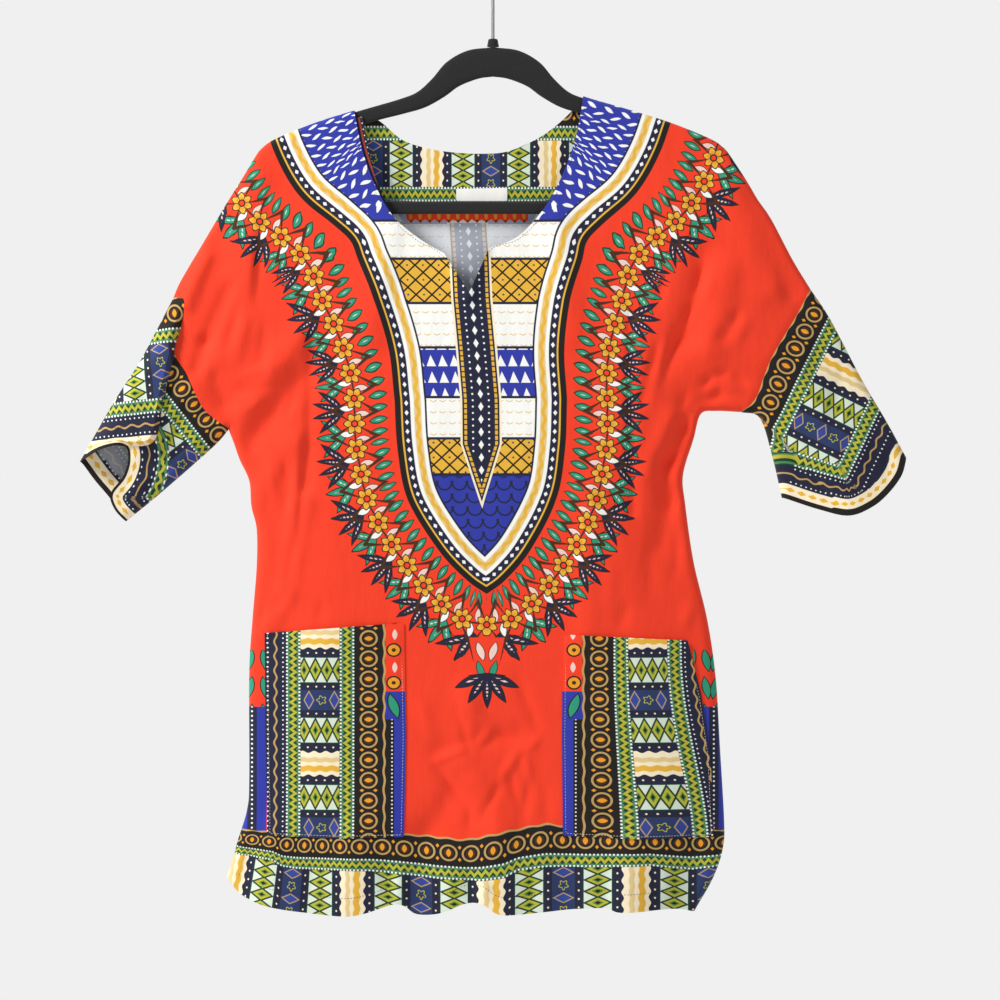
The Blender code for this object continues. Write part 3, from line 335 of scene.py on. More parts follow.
def inside(loop: Points, points: Points) -> Points:
    """Tell which points lie inside a closed loop."""
    result = np.zeros(len(points), dtype=bool)
    for (ax, ay), (bx, by) in zip(loop, np.roll(loop, -1, axis=0)):
        crosses = (ay > points[:, 1]) != (by > points[:, 1])
        with np.errstate(divide="ignore", invalid="ignore"):
            at = ax + (points[:, 1] - ay) * (bx - ax) / (by - ay)
        result ^= crosses & (points[:, 0] < at)
    return result


def eased(value: Points) -> Points:
    """Ease from 0 to 1 as value goes from 0 to 1."""
    value = np.clip(value, 0, 1)
    return value * value * (3 - 2 * value)


def raised(flat: Points, y: Points) -> Points:
    """Give points of the cut plane their y: (across, y, drop)."""
    return np.column_stack([flat[:, 0], y, flat[:, 1]])


def to_world(points: Points) -> Points:
    """Turn (across, y, drop) in millimetres into (x, y, z) in metres."""
    world = np.array(points, dtype=float)
    world[:, 2] = -(SHOULDER_LEVEL + world[:, 2])
    return world * MM


# ------------------------------------------------------------------ the garment's lines


def shoulder_line(neck_across: float, below: Rows, step: float) -> Points:
    """Draw the line over a hanger's arm from the neck, then down to the sleeve seam.

    Args:
        neck_across: Where the neckline leaves the arm.
        below: The line's points below the hanger's end.
        step: The distance between the points returned.

    Returns:
        The line's points.
    """
    side = math.copysign(1, neck_across)
    arm = through(np.array(HANGER_SECTIONS)[:, :2] * (side, 1), 3)
    seated = arm - side * left_of(arm) * SHOULDER_SEAT
    worn = (np.abs(seated[:, 0]) >= abs(neck_across)) & (seated[:, 1] < HANGER_LEFT_AT)
    return through(np.vstack([seated[worn][::2], below]), step)


@dataclass
class Pattern:
    """The garment's folded edges, seams and openings on the cut plane, by side."""

    step: float = 3.4
    over: dict[str, Points] = field(init=False)
    sides: dict[str, Points] = field(init=False)
    sleeve_over: dict[str, Points] = field(init=False)
    sleeve_under: dict[str, Points] = field(init=False)
    seams: dict[Face, dict[str, Points]] = field(init=False)
    cuffs: dict[Face, dict[str, Points]] = field(init=False)

    def __post_init__(self) -> None:
        """Draw every line at the pattern's step."""
        self.over = {side: shoulder_line(NECK_ENDS[side], below, self.step)
                     for side, below in zip(SIDES, (OVER_RIGHT, OVER_LEFT))}
        self.sides = self._pair(SIDE_RIGHT, SIDE_LEFT)
        self.sleeve_over = self._pair(SLEEVE_OVER_RIGHT, SLEEVE_OVER_LEFT)
        self.sleeve_under = self._pair(SLEEVE_UNDER_RIGHT, SLEEVE_UNDER_LEFT)
        self.seams = {Face.FRONT: self._pair(SEAM_FRONT_RIGHT, SEAM_FRONT_LEFT, fine=True),
                      Face.BACK: self._pair(SEAM_BACK_RIGHT, SEAM_BACK_LEFT, fine=True)}
        self.cuffs = {Face.FRONT: self._pair(CUFF_FRONT_RIGHT, CUFF_FRONT_LEFT, fine=True),
                      Face.BACK: self._pair(CUFF_BACK_RIGHT, CUFF_BACK_LEFT, fine=True)}

    def _pair(self, right: Rows, left: Rows, fine: bool = False) -> dict[str, Points]:
        """Draw a line of the wearer's right side and its fellow on the left."""
        lines = {"right": through(right, self.step), "left": through(left, self.step)}
        return {side: with_fine_ends(line) if fine else line for side, line in lines.items()}

    def folded_edges(self) -> list[Points]:
        """Return the lines along which the front turns over into the back."""
        edges = [np.vstack([self.over[side], self.sleeve_over[side][1:]]) for side in SIDES]
        edges += [np.vstack([self.sleeve_under[side], self.sides[side][1:]]) for side in SIDES]
        return edges

    def neck(self, face: Face) -> Points:
        """Return a panel's neckline from the wearer's left to the right."""
        left, right = self.over["left"][0], self.over["right"][0]
        if face is Face.BACK:
            return through([left, *BACK_NECK[::-1], right], self.step)
        down = through([left, *FRONT_NECK_LEFT], self.step)
        slit = [evenly([FRONT_NECK_LEFT[-1], SLIT_END], self.step)[1:],
                evenly([SLIT_END, FRONT_NECK_RIGHT[-1]], self.step)[1:]]
        up = through([*FRONT_NECK_RIGHT[::-1], right], self.step)[1:]
        return np.vstack([down, *slit, up])

    def panel(self, face: Face) -> list[tuple[str, Points]]:
        """Return a body panel's outline in named sections, from its neck round and back."""
        right, left = self.seams[face]["right"], self.seams[face]["left"]
        right = right - SEAM_ROOM * left_of(right)
        left = left + SEAM_ROOM * left_of(left)
        return [("folded", np.vstack([self.over["right"][:-1], right[:1]])),
                ("seam", right),
                ("folded", np.vstack([right[-1:], self.sides["right"][1:]])),
                ("hem", with_fine_ends(through(HEM, self.step))),
                ("folded", np.vstack([self.sides["left"][::-1][:-1], left[-1:]])),
                ("seam", left[::-1]),
                ("folded", np.vstack([left[:1], self.over["left"][::-1][1:]])),
                ("neck", with_fine_ends(self.neck(face)))]

    def sleeve(self, side: str, face: Face) -> list[tuple[str, Points]]:
        """Return the outline of one half of a sleeve in named sections."""
        seam, cuff = self.seams[face][side], self.cuffs[face][side]
        over, under = self.sleeve_over[side], self.sleeve_under[side]
        return [("folded", np.vstack([seam[:1], over[1:]])), ("cuff", cuff),
                ("folded", np.vstack([under[:-1], seam[-1:]])), ("seam", seam[::-1])]


def joined_outline(sections: Sequence[tuple[str, Points]]) -> Points:
    """Return the points of an outline in named sections, without repeating the first."""
    return np.vstack([line[:-1] for _, line in sections])


@dataclass
class Cut:
    """A cut piece on the cut plane, filled with triangles inside its outline."""

    sections: list[tuple[str, Points]]
    step: float
    face: Face
    marks: Sequence[Points] = ()
    points: Points = field(init=False)
    triangles: np.ndarray = field(init=False)

    def __post_init__(self) -> None:
        """Fill the outline, keeping the marks as edges."""
        outline = joined_outline(self.sections)
        points, edges = list(outline), []
        for mark in self.marks:
            edges += [(i, i + 1) for i in range(len(points), len(points) + len(mark) - 1)]
            points += list(mark)
        points += list(self._loose_points(outline))
        spots = [Vector(point) for point in points]
        found = delaunay_2d_cdt(spots, edges, [list(range(len(outline)))], 1, 0.001)
        self.points = np.array([tuple(point) for point in found[0]])
        triangles = np.array(found[2])
        a, b, c = (self.points[triangles[:, corner]] for corner in range(3))
        turn = (b - a)[:, 0] * (c - a)[:, 1] - (b - a)[:, 1] * (c - a)[:, 0]
        flip = turn * self.face.value < 0
        triangles[flip] = triangles[flip][:, ::-1]
        self.triangles = triangles

    def distance(self, kind: str) -> Points:
        """Return each point's distance to the outline's sections of one kind."""
        return distance_to(self.points, *self.lines(kind))

    def lines(self, kind: str) -> list[Points]:
        """Return the outline's sections of one kind."""
        return [line for name, line in self.sections if name == kind]

    def size(self) -> Size:
        """Return the cut's width, length and area, in metres."""
        outline = joined_outline(self.sections)
        width, length = np.ptp(outline, axis=0) * MM
        after = np.roll(outline, -1, axis=0)
        area = abs((outline[:, 0] * after[:, 1] - outline[:, 1] * after[:, 0]).sum()) / 2
        return float(width), float(length), float(area * MM ** 2)

    def _loose_points(self, outline: Points) -> Points:
        """Return points inside the outline: rows beside folded edges, then an even grid."""
        loop = closed(outline)
        rows = []
        for line in self.lines("folded"):
            for reach in (side * band for band in EDGE_BANDS for side in (-1, 1)):
                row = line + reach * left_of(line)
                row = row[inside(outline, row)]
                rows.append(row[distance_to(row, loop) > ROW_ROOM * abs(reach)])
        low, high = outline.min(0), outline.max(0)
        grid = []
        for number, drop in enumerate(np.arange(low[1], high[1], self.step * math.sqrt(0.75))):
            across = np.arange(low[0] + self.step * (number % 2) / 2, high[0], self.step)
            grid.append(np.column_stack([across, np.full(len(across), drop)]))
        grid = np.vstack(grid)
        grid = grid[inside(outline, grid)]
        grid = grid[distance_to(grid, loop) > OUTLINE_ROOM * self.step]
        kept = np.vstack([outline, *self.marks, *rows])
        tree = KDTree(len(kept))
        for number, (across, drop) in enumerate(kept):
            tree.insert((across, drop, 0), number)
        tree.balance()
        room = POINT_ROOM * self.step
        clear = [tree.find((across, drop, 0))[2] > room for across, drop in grid]
        return np.vstack([*rows, grid[clear]])


@dataclass
class Tube:
    """The flattened tube in which the shirt hangs: its depth and its folds."""

    pattern: Pattern

    def edge_distance(self, points: Points) -> Points:
        """Return each point's distance to the nearest folded edge."""
        nearest = distance_to(points, *self.pattern.folded_edges())
        nearest[nearest < ON_EDGE] = 0
        return nearest

    def seat(self, points: Points, face: Face, creases: Rows = (),
             gap: float = ON_EDGE) -> Points:
        """Return the y of the middle of the cloth.

        Args:
            points: Spots on the cut plane.
            face: The side of the tube.
            creases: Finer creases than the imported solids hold.
            gap: From the folded edges to the middle of the tube.

        Returns:
            The y of each spot, in millimetres.
        """
        distance = self.edge_distance(points)
        drops, front, back, edges = np.transpose(DEPTH_ROWS)
        depth = np.interp(points[:, 1], drops, front if face is Face.FRONT else back)
        round_edge = np.interp(points[:, 1], drops, edges)
        turned = 1 - np.minimum(distance / round_edge, 1)
        profile = round_edge * np.sqrt(1 - turned ** 2)
        profile += (depth - round_edge) * eased(distance / DEPTH_REACH)
        folds = heights(FRONT_FOLDS if face is Face.FRONT else BACK_FOLDS, points, tapered=False)
        folds += CREASE_DEPTH * heights(creases, points, tapered=True)
        return face.value * (gap + profile + folds * eased(distance / FOLD_CLEAR))


def heights(folds: Rows, points: Points, tapered: bool) -> Points:
    """Add up how far some folds lift the cloth.

    Args:
        folds: The folds' rows.
        points: Spots on the cut plane.
        tapered: Whether a fold sinks towards its ends.

    Returns:
        The height at each spot.
    """
    height = np.zeros(len(points))
    for *ends, width, rise in folds:
        start = np.array(ends[:2])
        leg = np.array(ends[2:]) - start
        share = np.clip(((points - start) @ leg) / (leg @ leg), 0, 1)
        away = np.linalg.norm(points - start - share[:, None] * leg, axis=1)
        strength = CREASE_END + (1 - CREASE_END) * np.sin(np.pi * share) if tapered else 1.0
        height += rise * strength * np.exp(-(away / width) ** 2)
    return height


def overlap_side(points: Points, pattern: Pattern) -> np.ndarray:
    """Tell which points lie on the right sleeve's outer part, above its step."""
    crest = np.vstack([OVERLAP_BESIDE_SEAM, through(OVERLAP_CREST[2:], pattern.step)])
    above = inside(np.vstack([crest, pattern.sleeve_over["right"][::-1]]), points)
    return above | (distance_to(points, crest) < ON_EDGE)


def overlap_lift(points: Points, pattern: Pattern) -> Points:
    """Return how far the right sleeve's outer part stands proud of its lower part."""
    rise = eased(distance_to(points, through(OVERLAP_CREST, pattern.step)) / OVERLAP_STEP)
    grown = eased(np.linalg.norm(points - np.array(OVERLAP_START), axis=1) / OVERLAP_FADE)
    free = eased(distance_to(points, pattern.sleeve_over["right"]) / FOLD_CLEAR)
    return np.where(overlap_side(points, pattern), OVERLAP_RISE * rise * grown * free, 0)


# ------------------------------------------------------------------ cloth with its thickness


@dataclass
class Cloth:
    """A sheet in the shirt's space: the middle of its cloth, its normals and what it carries."""

    points: Points
    triangles: np.ndarray
    attributes: dict[str, Points]
    normals: Points = field(init=False)

    def __post_init__(self) -> None:
        """Average the normals of the triangles at each point."""
        a, b, c = (self.points[self.triangles[:, corner]] for corner in range(3))
        faces = np.cross(b - a, c - a)
        normals = np.zeros_like(self.points)
        for corner in range(3):
            np.add.at(normals, self.triangles[:, corner], faces)
        # `drop` runs down while z runs up, so the turn of a triangle is the other way round
        self.normals = -normals / np.linalg.norm(normals, axis=1)[:, None]

    def turn_edges(self, on_edge: np.ndarray) -> None:
        """Lay the normals of points on a folded edge across the fold."""
        self.normals[on_edge, 1] = 0
        self.normals /= np.linalg.norm(self.normals, axis=1)[:, None]

    def joined(self, other: Cloth) -> Cloth:
        """Join another sheet to this one where their points lie on each other."""
        points = np.vstack([self.points, other.points])
        triangles = np.vstack([self.triangles, other.triangles + len(self.points)])
        numbers: dict[tuple[float, ...], int] = {}
        keys = [tuple(np.round(point, 2)) for point in points]
        kept = np.array([numbers.setdefault(key, len(numbers)) for key in keys])
        first = np.unique(kept, return_index=True)[1]
        both = {name: np.concatenate([values, other.attributes[name]])[first]
                for name, values in self.attributes.items()}
        return Cloth(points[first], kept[triangles], both)

    def shell(self, name: str, outer: float = OUTER_FACE,
              turned: Optional[np.ndarray] = None, lining: bool = False) -> bpy.types.Object:
        """Give the sheet its thickness, with a rim at every edge.

        Args:
            name: The piece's name.
            outer: From the sheet to the cloth's outer face, in millimetres.
            turned: Which points lie in a turned hem.
            lining: Whether the inner face shows the print's right side too.

        Returns:
            The closed piece, with its attributes and a `wrong_side` of 1 on its inner face.
        """
        count = len(self.points)
        turned = np.zeros(count, dtype=bool) if turned is None else turned
        depth = np.where(turned, TURNED_CLOTH, CLOTH)[:, None]
        outside = self.points + self.normals * outer
        vertices = to_world(np.vstack([outside, outside - self.normals * depth]))
        faces = [*self.triangles, *(self.triangles[:, ::-1] + count)]
        used = {(a, b) for face in self.triangles for a, b in zip(face, np.roll(face, -1))}
        rim = sorted((a, b) for a, b in used if (b, a) not in used)
        faces += [(b, a, a + count, b + count) for a, b in rim]
        made = new_object(name, vertices, faces)
        carried = {key: np.concatenate([values, values]) for key, values in self.attributes.items()}
        inner = np.full(count, 0.0 if lining else 1.0)
        if "cuff" in carried:
            inner[carried["cuff"][:count] < TURNING] = 0
        if "border" in carried:
            carried.setdefault("end_along", carried["border"][:, 0])
        carried["wrong_side"] = np.concatenate([np.zeros(count), inner])
        for key, values in carried.items():
            kind, value = (("FLOAT", "value") if values.ndim == 1 else ("FLOAT_VECTOR", "vector"))
            layer = made.data.attributes.new(key, kind, "POINT")
            layer.data.foreach_set(value, np.ascontiguousarray(values, dtype=np.float32).ravel())
        return made


def new_object(name: str, vertices: Points, faces: Sequence[Sequence[int]]) -> bpy.types.Object:
    """Make a smooth mesh object whose sharper edges stay crisp.

    Args:
        name: The object's name.
        vertices: The corners, in metres.
        faces: The faces' corner numbers.

    Returns:
        The object, in the scene.
    """
    mesh = bpy.data.meshes.new(name)
    mesh.from_pydata([tuple(vertex) for vertex in vertices], [],
                     [tuple(int(i) for i in face) for face in faces])
    mesh.update()
    mesh.shade_smooth()
    mesh.set_sharp_from_angle(angle=math.radians(CRISP_FROM))
    return in_scene(name, mesh)


def in_scene(name: str, data: bpy.types.ID) -> bpy.types.Object:
    """Put a mesh, a light or a camera in the scene as an object."""
    made = bpy.data.objects.new(name, data)
    bpy.context.scene.collection.objects.link(made)
    return made


# ------------------------------------------------------------------ shader graphs


class Graph:
    """Adds nodes to one node tree."""

    def __init__(self, tree: bpy.types.NodeTree) -> None:
        """Keep the tree to which nodes are added."""
        self.tree = tree

    def node(self, kind: str, settings: Optional[dict] = None,
             inputs: Optional[dict] = None) -> bpy.types.Node:
        """Add a node.

        Args:
            kind: The node's type.
            settings: Its own properties by name.
            inputs: Values or links for its sockets, by name or number.

        Returns:
            The node.
        """
        made = self.tree.nodes.new(kind)
        for key, value in (settings or {}).items():
            setattr(made, key, value)
        self.feed(made, inputs or {})
        return made

    def feed(self, node: bpy.types.Node, inputs: dict) -> None:
        """Give a node's sockets their values or links, by name or number."""
        for key, value in inputs.items():
            source = value.socket if isinstance(value, Field) else value
            if isinstance(source, bpy.types.NodeSocket):
                self.tree.links.new(source, node.inputs[key])
            else:
                node.inputs[key].default_value = source

    def vector(self, name: str) -> list[Field]:
        """Return the three numbers of a vector attribute."""
        read_out = self.node("ShaderNodeAttribute", {"attribute_name": name})
        split = self.node("ShaderNodeSeparateXYZ", inputs={0: read_out.outputs["Vector"]})
        return [Field(self, output) for output in split.outputs]

    def number(self, name: str) -> Field:
        """Return a number attribute."""
        read_out = self.node("ShaderNodeAttribute", {"attribute_name": name})
        return Field(self, read_out.outputs["Fac"])

    def noise(self, scale: float, detail: float = 2.0,
              stretch: Sequence[float] = (1, 1, 1)) -> Field:
        """Return noise from 0 to 1 over the object's own space.

        Args:
            scale: Its size, in spots per metre.
            detail: Its octaves.
            stretch: How the space is scaled first.

        Returns:
            The noise.
        """
        place = self.node("ShaderNodeTexCoord").outputs["Object"]
        scaled = self.node("ShaderNodeVectorMath", {"operation": "MULTIPLY"},
                           {0: place, 1: tuple(stretch)})
        made = self.node("ShaderNodeTexNoise", inputs={
            "Vector": scaled.outputs[0], "Scale": scale, "Detail": detail})
        return Field(self, made.outputs[0])

    def bump(self, height: Field, strength: float) -> bpy.types.NodeSocket:
        """Return a normal that follows a height, in metres."""
        made = self.node("ShaderNodeBump", inputs={"Height": height, "Distance": 1.0,
                                                   "Strength": strength})
        return made.outputs[0]


Number = Union[float, "Field"]
Tint = Union[Colour, bpy.types.NodeSocket, "Ink"]


def maths(operation: str, swapped: bool = False) -> Callable[..., Field]:
    """Make a method that adds a Math node to a field's graph.

    Args:
        operation: The node's operation.
        swapped: Whether the field is the last operand instead of the first.

    Returns:
        The method, which takes the other operands and returns the result.
    """
    def added(self: Field, *others: Number) -> Field:
        """Add the node."""
        values = [*others, self] if swapped else [self, *others]
        made = self.graph.node("ShaderNodeMath", {"operation": operation}, dict(enumerate(values)))
        return Field(self.graph, made.outputs[0])

    return added


class Field:
    """A number that varies over a surface, so that shader maths reads as arithmetic."""

    __add__ = __radd__ = maths("ADD")
    __sub__ = maths("SUBTRACT")
    __rsub__ = maths("SUBTRACT", swapped=True)
    __mul__ = __rmul__ = maths("MULTIPLY")
    __truediv__ = maths("DIVIDE")
    __abs__ = maths("ABSOLUTE")
    sine = maths("SINE")
    cosine = maths("COSINE")
    angle = maths("ARCTAN2")         # of (this, forwards), in radians from forwards
    at_most = maths("MINIMUM")
    at_least = maths("MAXIMUM")

    def __init__(self, graph: Graph, socket: bpy.types.NodeSocket) -> None:
        """Wrap a socket."""
        self.graph = graph
        self.socket = socket

    def wrap(self, period: float) -> Field:
        """Return the signed offset from the nearest multiple of a period."""
        return maths("WRAP")(self, period / 2, -period / 2)

    def fold(self, period: float) -> Field:
        """Return the distance from the nearest multiple of a period."""
        return maths("PINGPONG")(self, period / 2)

    def wave(self, length: float) -> Field:
        """Return the sine of a wave along this place."""
        return (self * (FULL_TURN / length)).sine()

    def length(self, along: Field) -> Field:
        """Return the length of the flat vector (this, along)."""
        joined = self.graph.node("ShaderNodeCombineXYZ", inputs={0: self, 1: along})
        measured = self.graph.node("ShaderNodeVectorMath", {"operation": "LENGTH"},
                                   {0: joined.outputs[0]})
        return Field(self.graph, measured.outputs["Value"])

    def under(self, limit: float, blur: float = 0.25) -> Field:
        """Return 1 where this is less than a limit and 0 beyond it."""
        made = self.graph.node("ShaderNodeMapRange", {"interpolation_type": "SMOOTHSTEP"}, {
            "Value": self, "From Min": limit - blur, "From Max": limit + blur,
            "To Min": 1.0, "To Max": 0.0})
        return Field(self.graph, made.outputs[0])

    def beyond(self, limit: float, blur: float = 0.25) -> Field:
        """Return 1 where this is more than a limit and 0 below it."""
        return (-1.0 * self).under(-limit, blur)

    def between(self, low: float, high: float) -> Field:
        """Return 1 where this lies between two limits."""
        return abs(self - (low + high) / 2).under((high - low) / 2)


class Ink:
    """A colour laid down in layers, as screens are printed over each other."""

    def __init__(self, graph: Graph, ground: Tint) -> None:
        """Start with a plain ground."""
        self.graph = graph
        self.colour = ground

    def lay(self, *layers: tuple[Tint, Number]) -> None:
        """Print colours, or what other inks have printed, each where its mask is 1."""
        for tint, mask in layers:
            source = tint.colour if isinstance(tint, Ink) else tint
            made = self.graph.node("ShaderNodeMix", {"data_type": "RGBA"},
                                   {0: mask, 6: self.colour, 7: source})
            self.colour = made.outputs[2]

    def inlay(self, shape: Field, *limits: tuple[Tint, float], blur: float = 0.25) -> None:
        """Print a shape in colours, each where the shape's value is under its limit."""
        self.lay(*((tint, shape.under(limit, blur)) for tint, limit in limits))


def shade(code: int) -> Colour:
    """Return a display colour, written 0xRRGGBB, as a linear one."""
    parts = [(code >> shift & 255) / 255 for shift in (16, 8, 0)]
    linear = [c / 12.92 if c <= 0.04045 else ((c + 0.055) / 1.055) ** 2.4 for c in parts]
    return (*linear, 1.0)


ORANGE = shade(0xFA3F22)
ROYAL = shade(0x2F3AA8)
MID_BLUE = shade(0x33499A)
STEEL_BLUE = shade(0x2A3A66)
NAVY = shade(0x20233C)
BLACK = shade(0x1C1817)
BROWN = shade(0x4A2A16)
RED_BROWN = shade(0xA8443A)
CREAM = shade(0xFFF1D0)
WHITE = shade(0xFDFDFA)
PINK = shade(0xF7D5CB)
PALE_GOLD = shade(0xE9CE93)
GOLD = shade(0xEDB83E)
DULL_GOLD = shade(0xC3A061)
AMBER = shade(0xF0A026)
GREEN = shade(0x2E9C7A)
DARK_GREEN = shade(0x16402C)
LEAF_GREEN = shade(0x4F8A3C)
OLIVE = shade(0xBDB93A)
PALE_GREEN = shade(0xDDEBDA)
FADED = shade(0xD3DAE8)
TEETH = shade(0x4C8A5C)


# ------------------------------------------------------------------ the print's motifs


def leaf(along: Field, across: Field, length: float, half_width: float) -> Field:
    """Return how far outside a pointed leaf a place is, negative inside it.

    Args:
        along: The place along the leaf, from its middle.
        across: The place across it.
        length: The leaf's length.
        half_width: Half its greatest width.

    Returns:
        The signed distance across the leaf.
    """
    share = along / (length / 2)
    return abs(across) - half_width * (1 - share * share)


def fan(across: Field, outwards: Field, count: int, spread: float, length: float,
        half_width: float) -> Field:
    """Return how far outside a fan of leaves a place is, negative inside them.

    Args:
        across: The place across the fan, from its foot.
        outwards: The place along its middle, from its foot.
        count: How many leaves it has.
        spread: The angle between two leaves, in degrees.
        length: A leaf's length.
        half_width: Half a leaf's greatest width.

    Returns:
        The signed distance across the nearest leaf.
    """
    step = math.radians(spread)
    angle = across.angle(outwards)
    turned = (angle + step / 2 * (1 - count % 2)).wrap(step)
    reach = across.length(outwards)
    shape = leaf(reach * turned.cosine() - length / 2, reach * turned.sine(), length, half_width)
    return shape.at_least((abs(angle) - count * step / 2) * reach)


@dataclass(frozen=True)
class BorderPrint:
    """The border: a ring chain, a zigzag, and columns of blocks between two zigzags.

    Its coordinates are the place along it, the place down from its gold line, and the place
    beyond the end of its blocks, which is negative where the blocks go on.
    """

    period: float = 132.0
    first_cream: float = -2.0
    ring_pitch: float = 21.0
    ring_middle: float = 14.6
    rings_end: float = 28.0
    zigzag_end: float = 42.0
    lozenge_middle: float = 34.75    # from the middle of a cream bar
    panel_middle: float = 66.0
    panel_pitch: float = 24.0
    tooth_pitch: float = 3.6
    end_wave_at: float = 24.0        # beyond the blocks
    end_cream: float = 34.0
    end_black: float = 45.0
    bloom_pitch: float = 34.0
    sprig_middle: float = 70.0

    def print_on(self, graph: Graph) -> bpy.types.NodeSocket:
        """Return the border's colour."""
        along, down, beyond = graph.vector("border")
        end = graph.number("end_along")
        ink = Ink(graph, BLACK)
        self._rings(ink, along, down)
        self._blocks(ink, along, down)
        self._end_bands(ink, end, beyond)
        last = beyond.beyond(0, 0.1)
        place = down + last * (beyond + self.rings_end - down)
        self._zigzag(ink, along + last * (end - along), place)
        self._above(ink, along, down)
        return ink.colour

    def _rings(self, ink: Ink, along: Field, down: Field) -> None:
        """Print gold rings with a bud in each, between small lozenges."""
        across, height = along.wrap(self.ring_pitch), down - self.ring_middle
        reach = across.length(height)
        side = (along + self.ring_pitch / 2).wrap(self.ring_pitch)
        ink.lay((DULL_GOLD, abs(reach - 7.6).under(0.95)), (BROWN, reach.under(4.6)),
                (AMBER, leaf(height, across, 8.4, 2.3).under(0)),
                (AMBER, (abs(side) + abs(abs(height) - 6.4) * 0.8).under(1.7)))

    def _blocks(self, ink: Ink, along: Field, down: Field) -> None:
        """Print the columns: cream, dotted bars, lozenges and blue panels."""
        offset = (along - self.first_cream).wrap(self.period)
        from_cream = abs(offset)
        columns = Ink(ink.graph, NAVY)
        dots = (from_cream - 17).at_most(abs(from_cream - 52)).length(down.wrap(8))
        columns.lay((CREAM, dots.under(0.9)))
        self._lozenges(columns, from_cream, down)
        self._panel(columns, from_cream, down)
        wave = (down * (FULL_TURN / 11)).cosine()
        columns.lay((CREAM, (from_cream - 1.1 * wave).under(12.2)),
                    (PALE_GOLD, abs(offset + 4 + 0.5 * wave).under(2.4, 0.8)),
                    (GOLD, abs(offset - 5 - 0.7 * wave).under(2.9, 0.6)))
        ink.lay((columns, down.beyond(self.zigzag_end)))

    def _lozenges(self, ink: Ink, from_cream: Field, down: Field) -> None:
        """Print stacked lozenges between pale triangles."""
        across = abs(from_cream - self.lozenge_middle)
        column = Ink(ink.graph, PALE_GREEN)
        column.inlay(across / 11.6 + down.fold(10.8) / 5.4, (DARK_GREEN, 1.2), (OLIVE, 0.88),
                     (LEAF_GREEN, 0.46), (BLACK, 0.26), blur=0.05)
        column.lay((DARK_GREEN, across.beyond(12.7)))
        ink.lay((column, across.under(13.75)))

    def _panel(self, ink: Ink, from_cream: Field, down: Field) -> None:
        """Print the blue panels with a small star and a lozenge in turn."""
        panel = Ink(ink.graph, STEEL_BLUE)
        across = self.panel_middle - from_cream
        star = (down - 11).wrap(self.panel_pitch)
        petals = (across.angle(star) * 5).cosine()
        lift = (down + 1).wrap(self.panel_pitch) / 4.5
        rim = abs((down + 1).fold(self.panel_pitch) / 4.6 + across / 9 - 1)
        panel.lay((OLIVE, abs(across.length(star) - 3.6 - 0.9 * petals).under(0.5)),
                  (MID_BLUE, (lift * lift + across / 8 * (across / 8)).under(1, 0.1)),
                  (DULL_GOLD, rim.under(0.11, 0.05)))
        ink.lay((panel, from_cream.beyond(55.5)))

    def _zigzag(self, ink: Ink, along: Field, place: Field) -> None:
        """Print the olive zigzag between toothed and dotted edges."""
        height = place - (self.rings_end + self.zigzag_end) / 2
        band = Ink(ink.graph, DARK_GREEN)
        wave = (along.fold(7.0) - 1.75) * 1.25
        teeth = abs(abs(height) - 4.3) + along.fold(self.tooth_pitch) * 0.9
        dot = (along + self.tooth_pitch / 2).wrap(self.tooth_pitch).length(abs(height) - 5.9)
        band.lay((TEETH, teeth.under(1.7)), (OLIVE, abs(height - wave).under(1.95)),
                 (WHITE, dot.under(1.0)))
        ink.lay((band, abs(height).under((self.zigzag_end - self.rings_end) / 2)))

    def _end_bands(self, ink: Ink, along: Field, beyond: Field) -> None:
        """Print the bands that close the border: navy, cream with gold, and black."""
        band = Ink(ink.graph, NAVY)
        from_wave = beyond - self.end_wave_at
        dots = along.wrap(5).length(abs(abs(from_wave) - 7.2))
        middle = (self.end_cream + self.end_black) / 2
        lozenge = abs(along.wrap(11)) * 0.55 + abs(beyond - middle)
        band.lay((DULL_GOLD, abs(from_wave - 1.2 * along.wave(15)).under(0.9)),
                 (WHITE, dots.under(0.75)), (CREAM, beyond.beyond(self.end_cream)),
                 (GOLD, lozenge.under(2.6)), (BLACK, beyond.beyond(self.end_black)))
        ink.lay((band, beyond.beyond(0)))

    def _above(self, ink: Ink, along: Field, down: Field) -> None:
        """Print the gold line and what lies above it: dark, a dotted line, then blue."""
        above = Ink(ink.graph, BLACK)
        above.lay((ROYAL, down.under(-9.5)), (WHITE, along.wrap(4).length(down + 7.4).under(0.8)))
        upper = Ink(ink.graph, ORANGE)
        bloom = (along - 12).wrap(self.bloom_pitch).length(down + 9)
        upper.inlay(bloom, (BLACK, 7.2), (AMBER, 5.6), (BROWN, 2.0))
        upper.inlay(leaf((along + 4).wrap(self.bloom_pitch), down + 10, 11, 2.4), (PINK, 0))
        middle = Ink(ink.graph, ROYAL)
        lean = along - self.sprig_middle
        middle.inlay(leaf(lean, down + 9 + lean * 0.3, 24, 4.2), (BLACK, 1.3), (GREEN, 0))
        above.lay((upper, along.under(55)), (middle, along.between(55, 84)))
        ink.lay((above, down.under(-1.0)))
        ink.lay((DULL_GOLD, abs(down - 0.6 * along.wave(GOLD_LINE_WAVE)).under(1.0)))


class Zone(Enum):
    """A part of the body's print, so that each face only works out the print that it shows."""

    WHOLE = "whole"
    PLAIN = "plain"
    RING = "ring"
    BANDS = "bands"
    SHOULDER = "shoulder"
    ROWS = "rows"


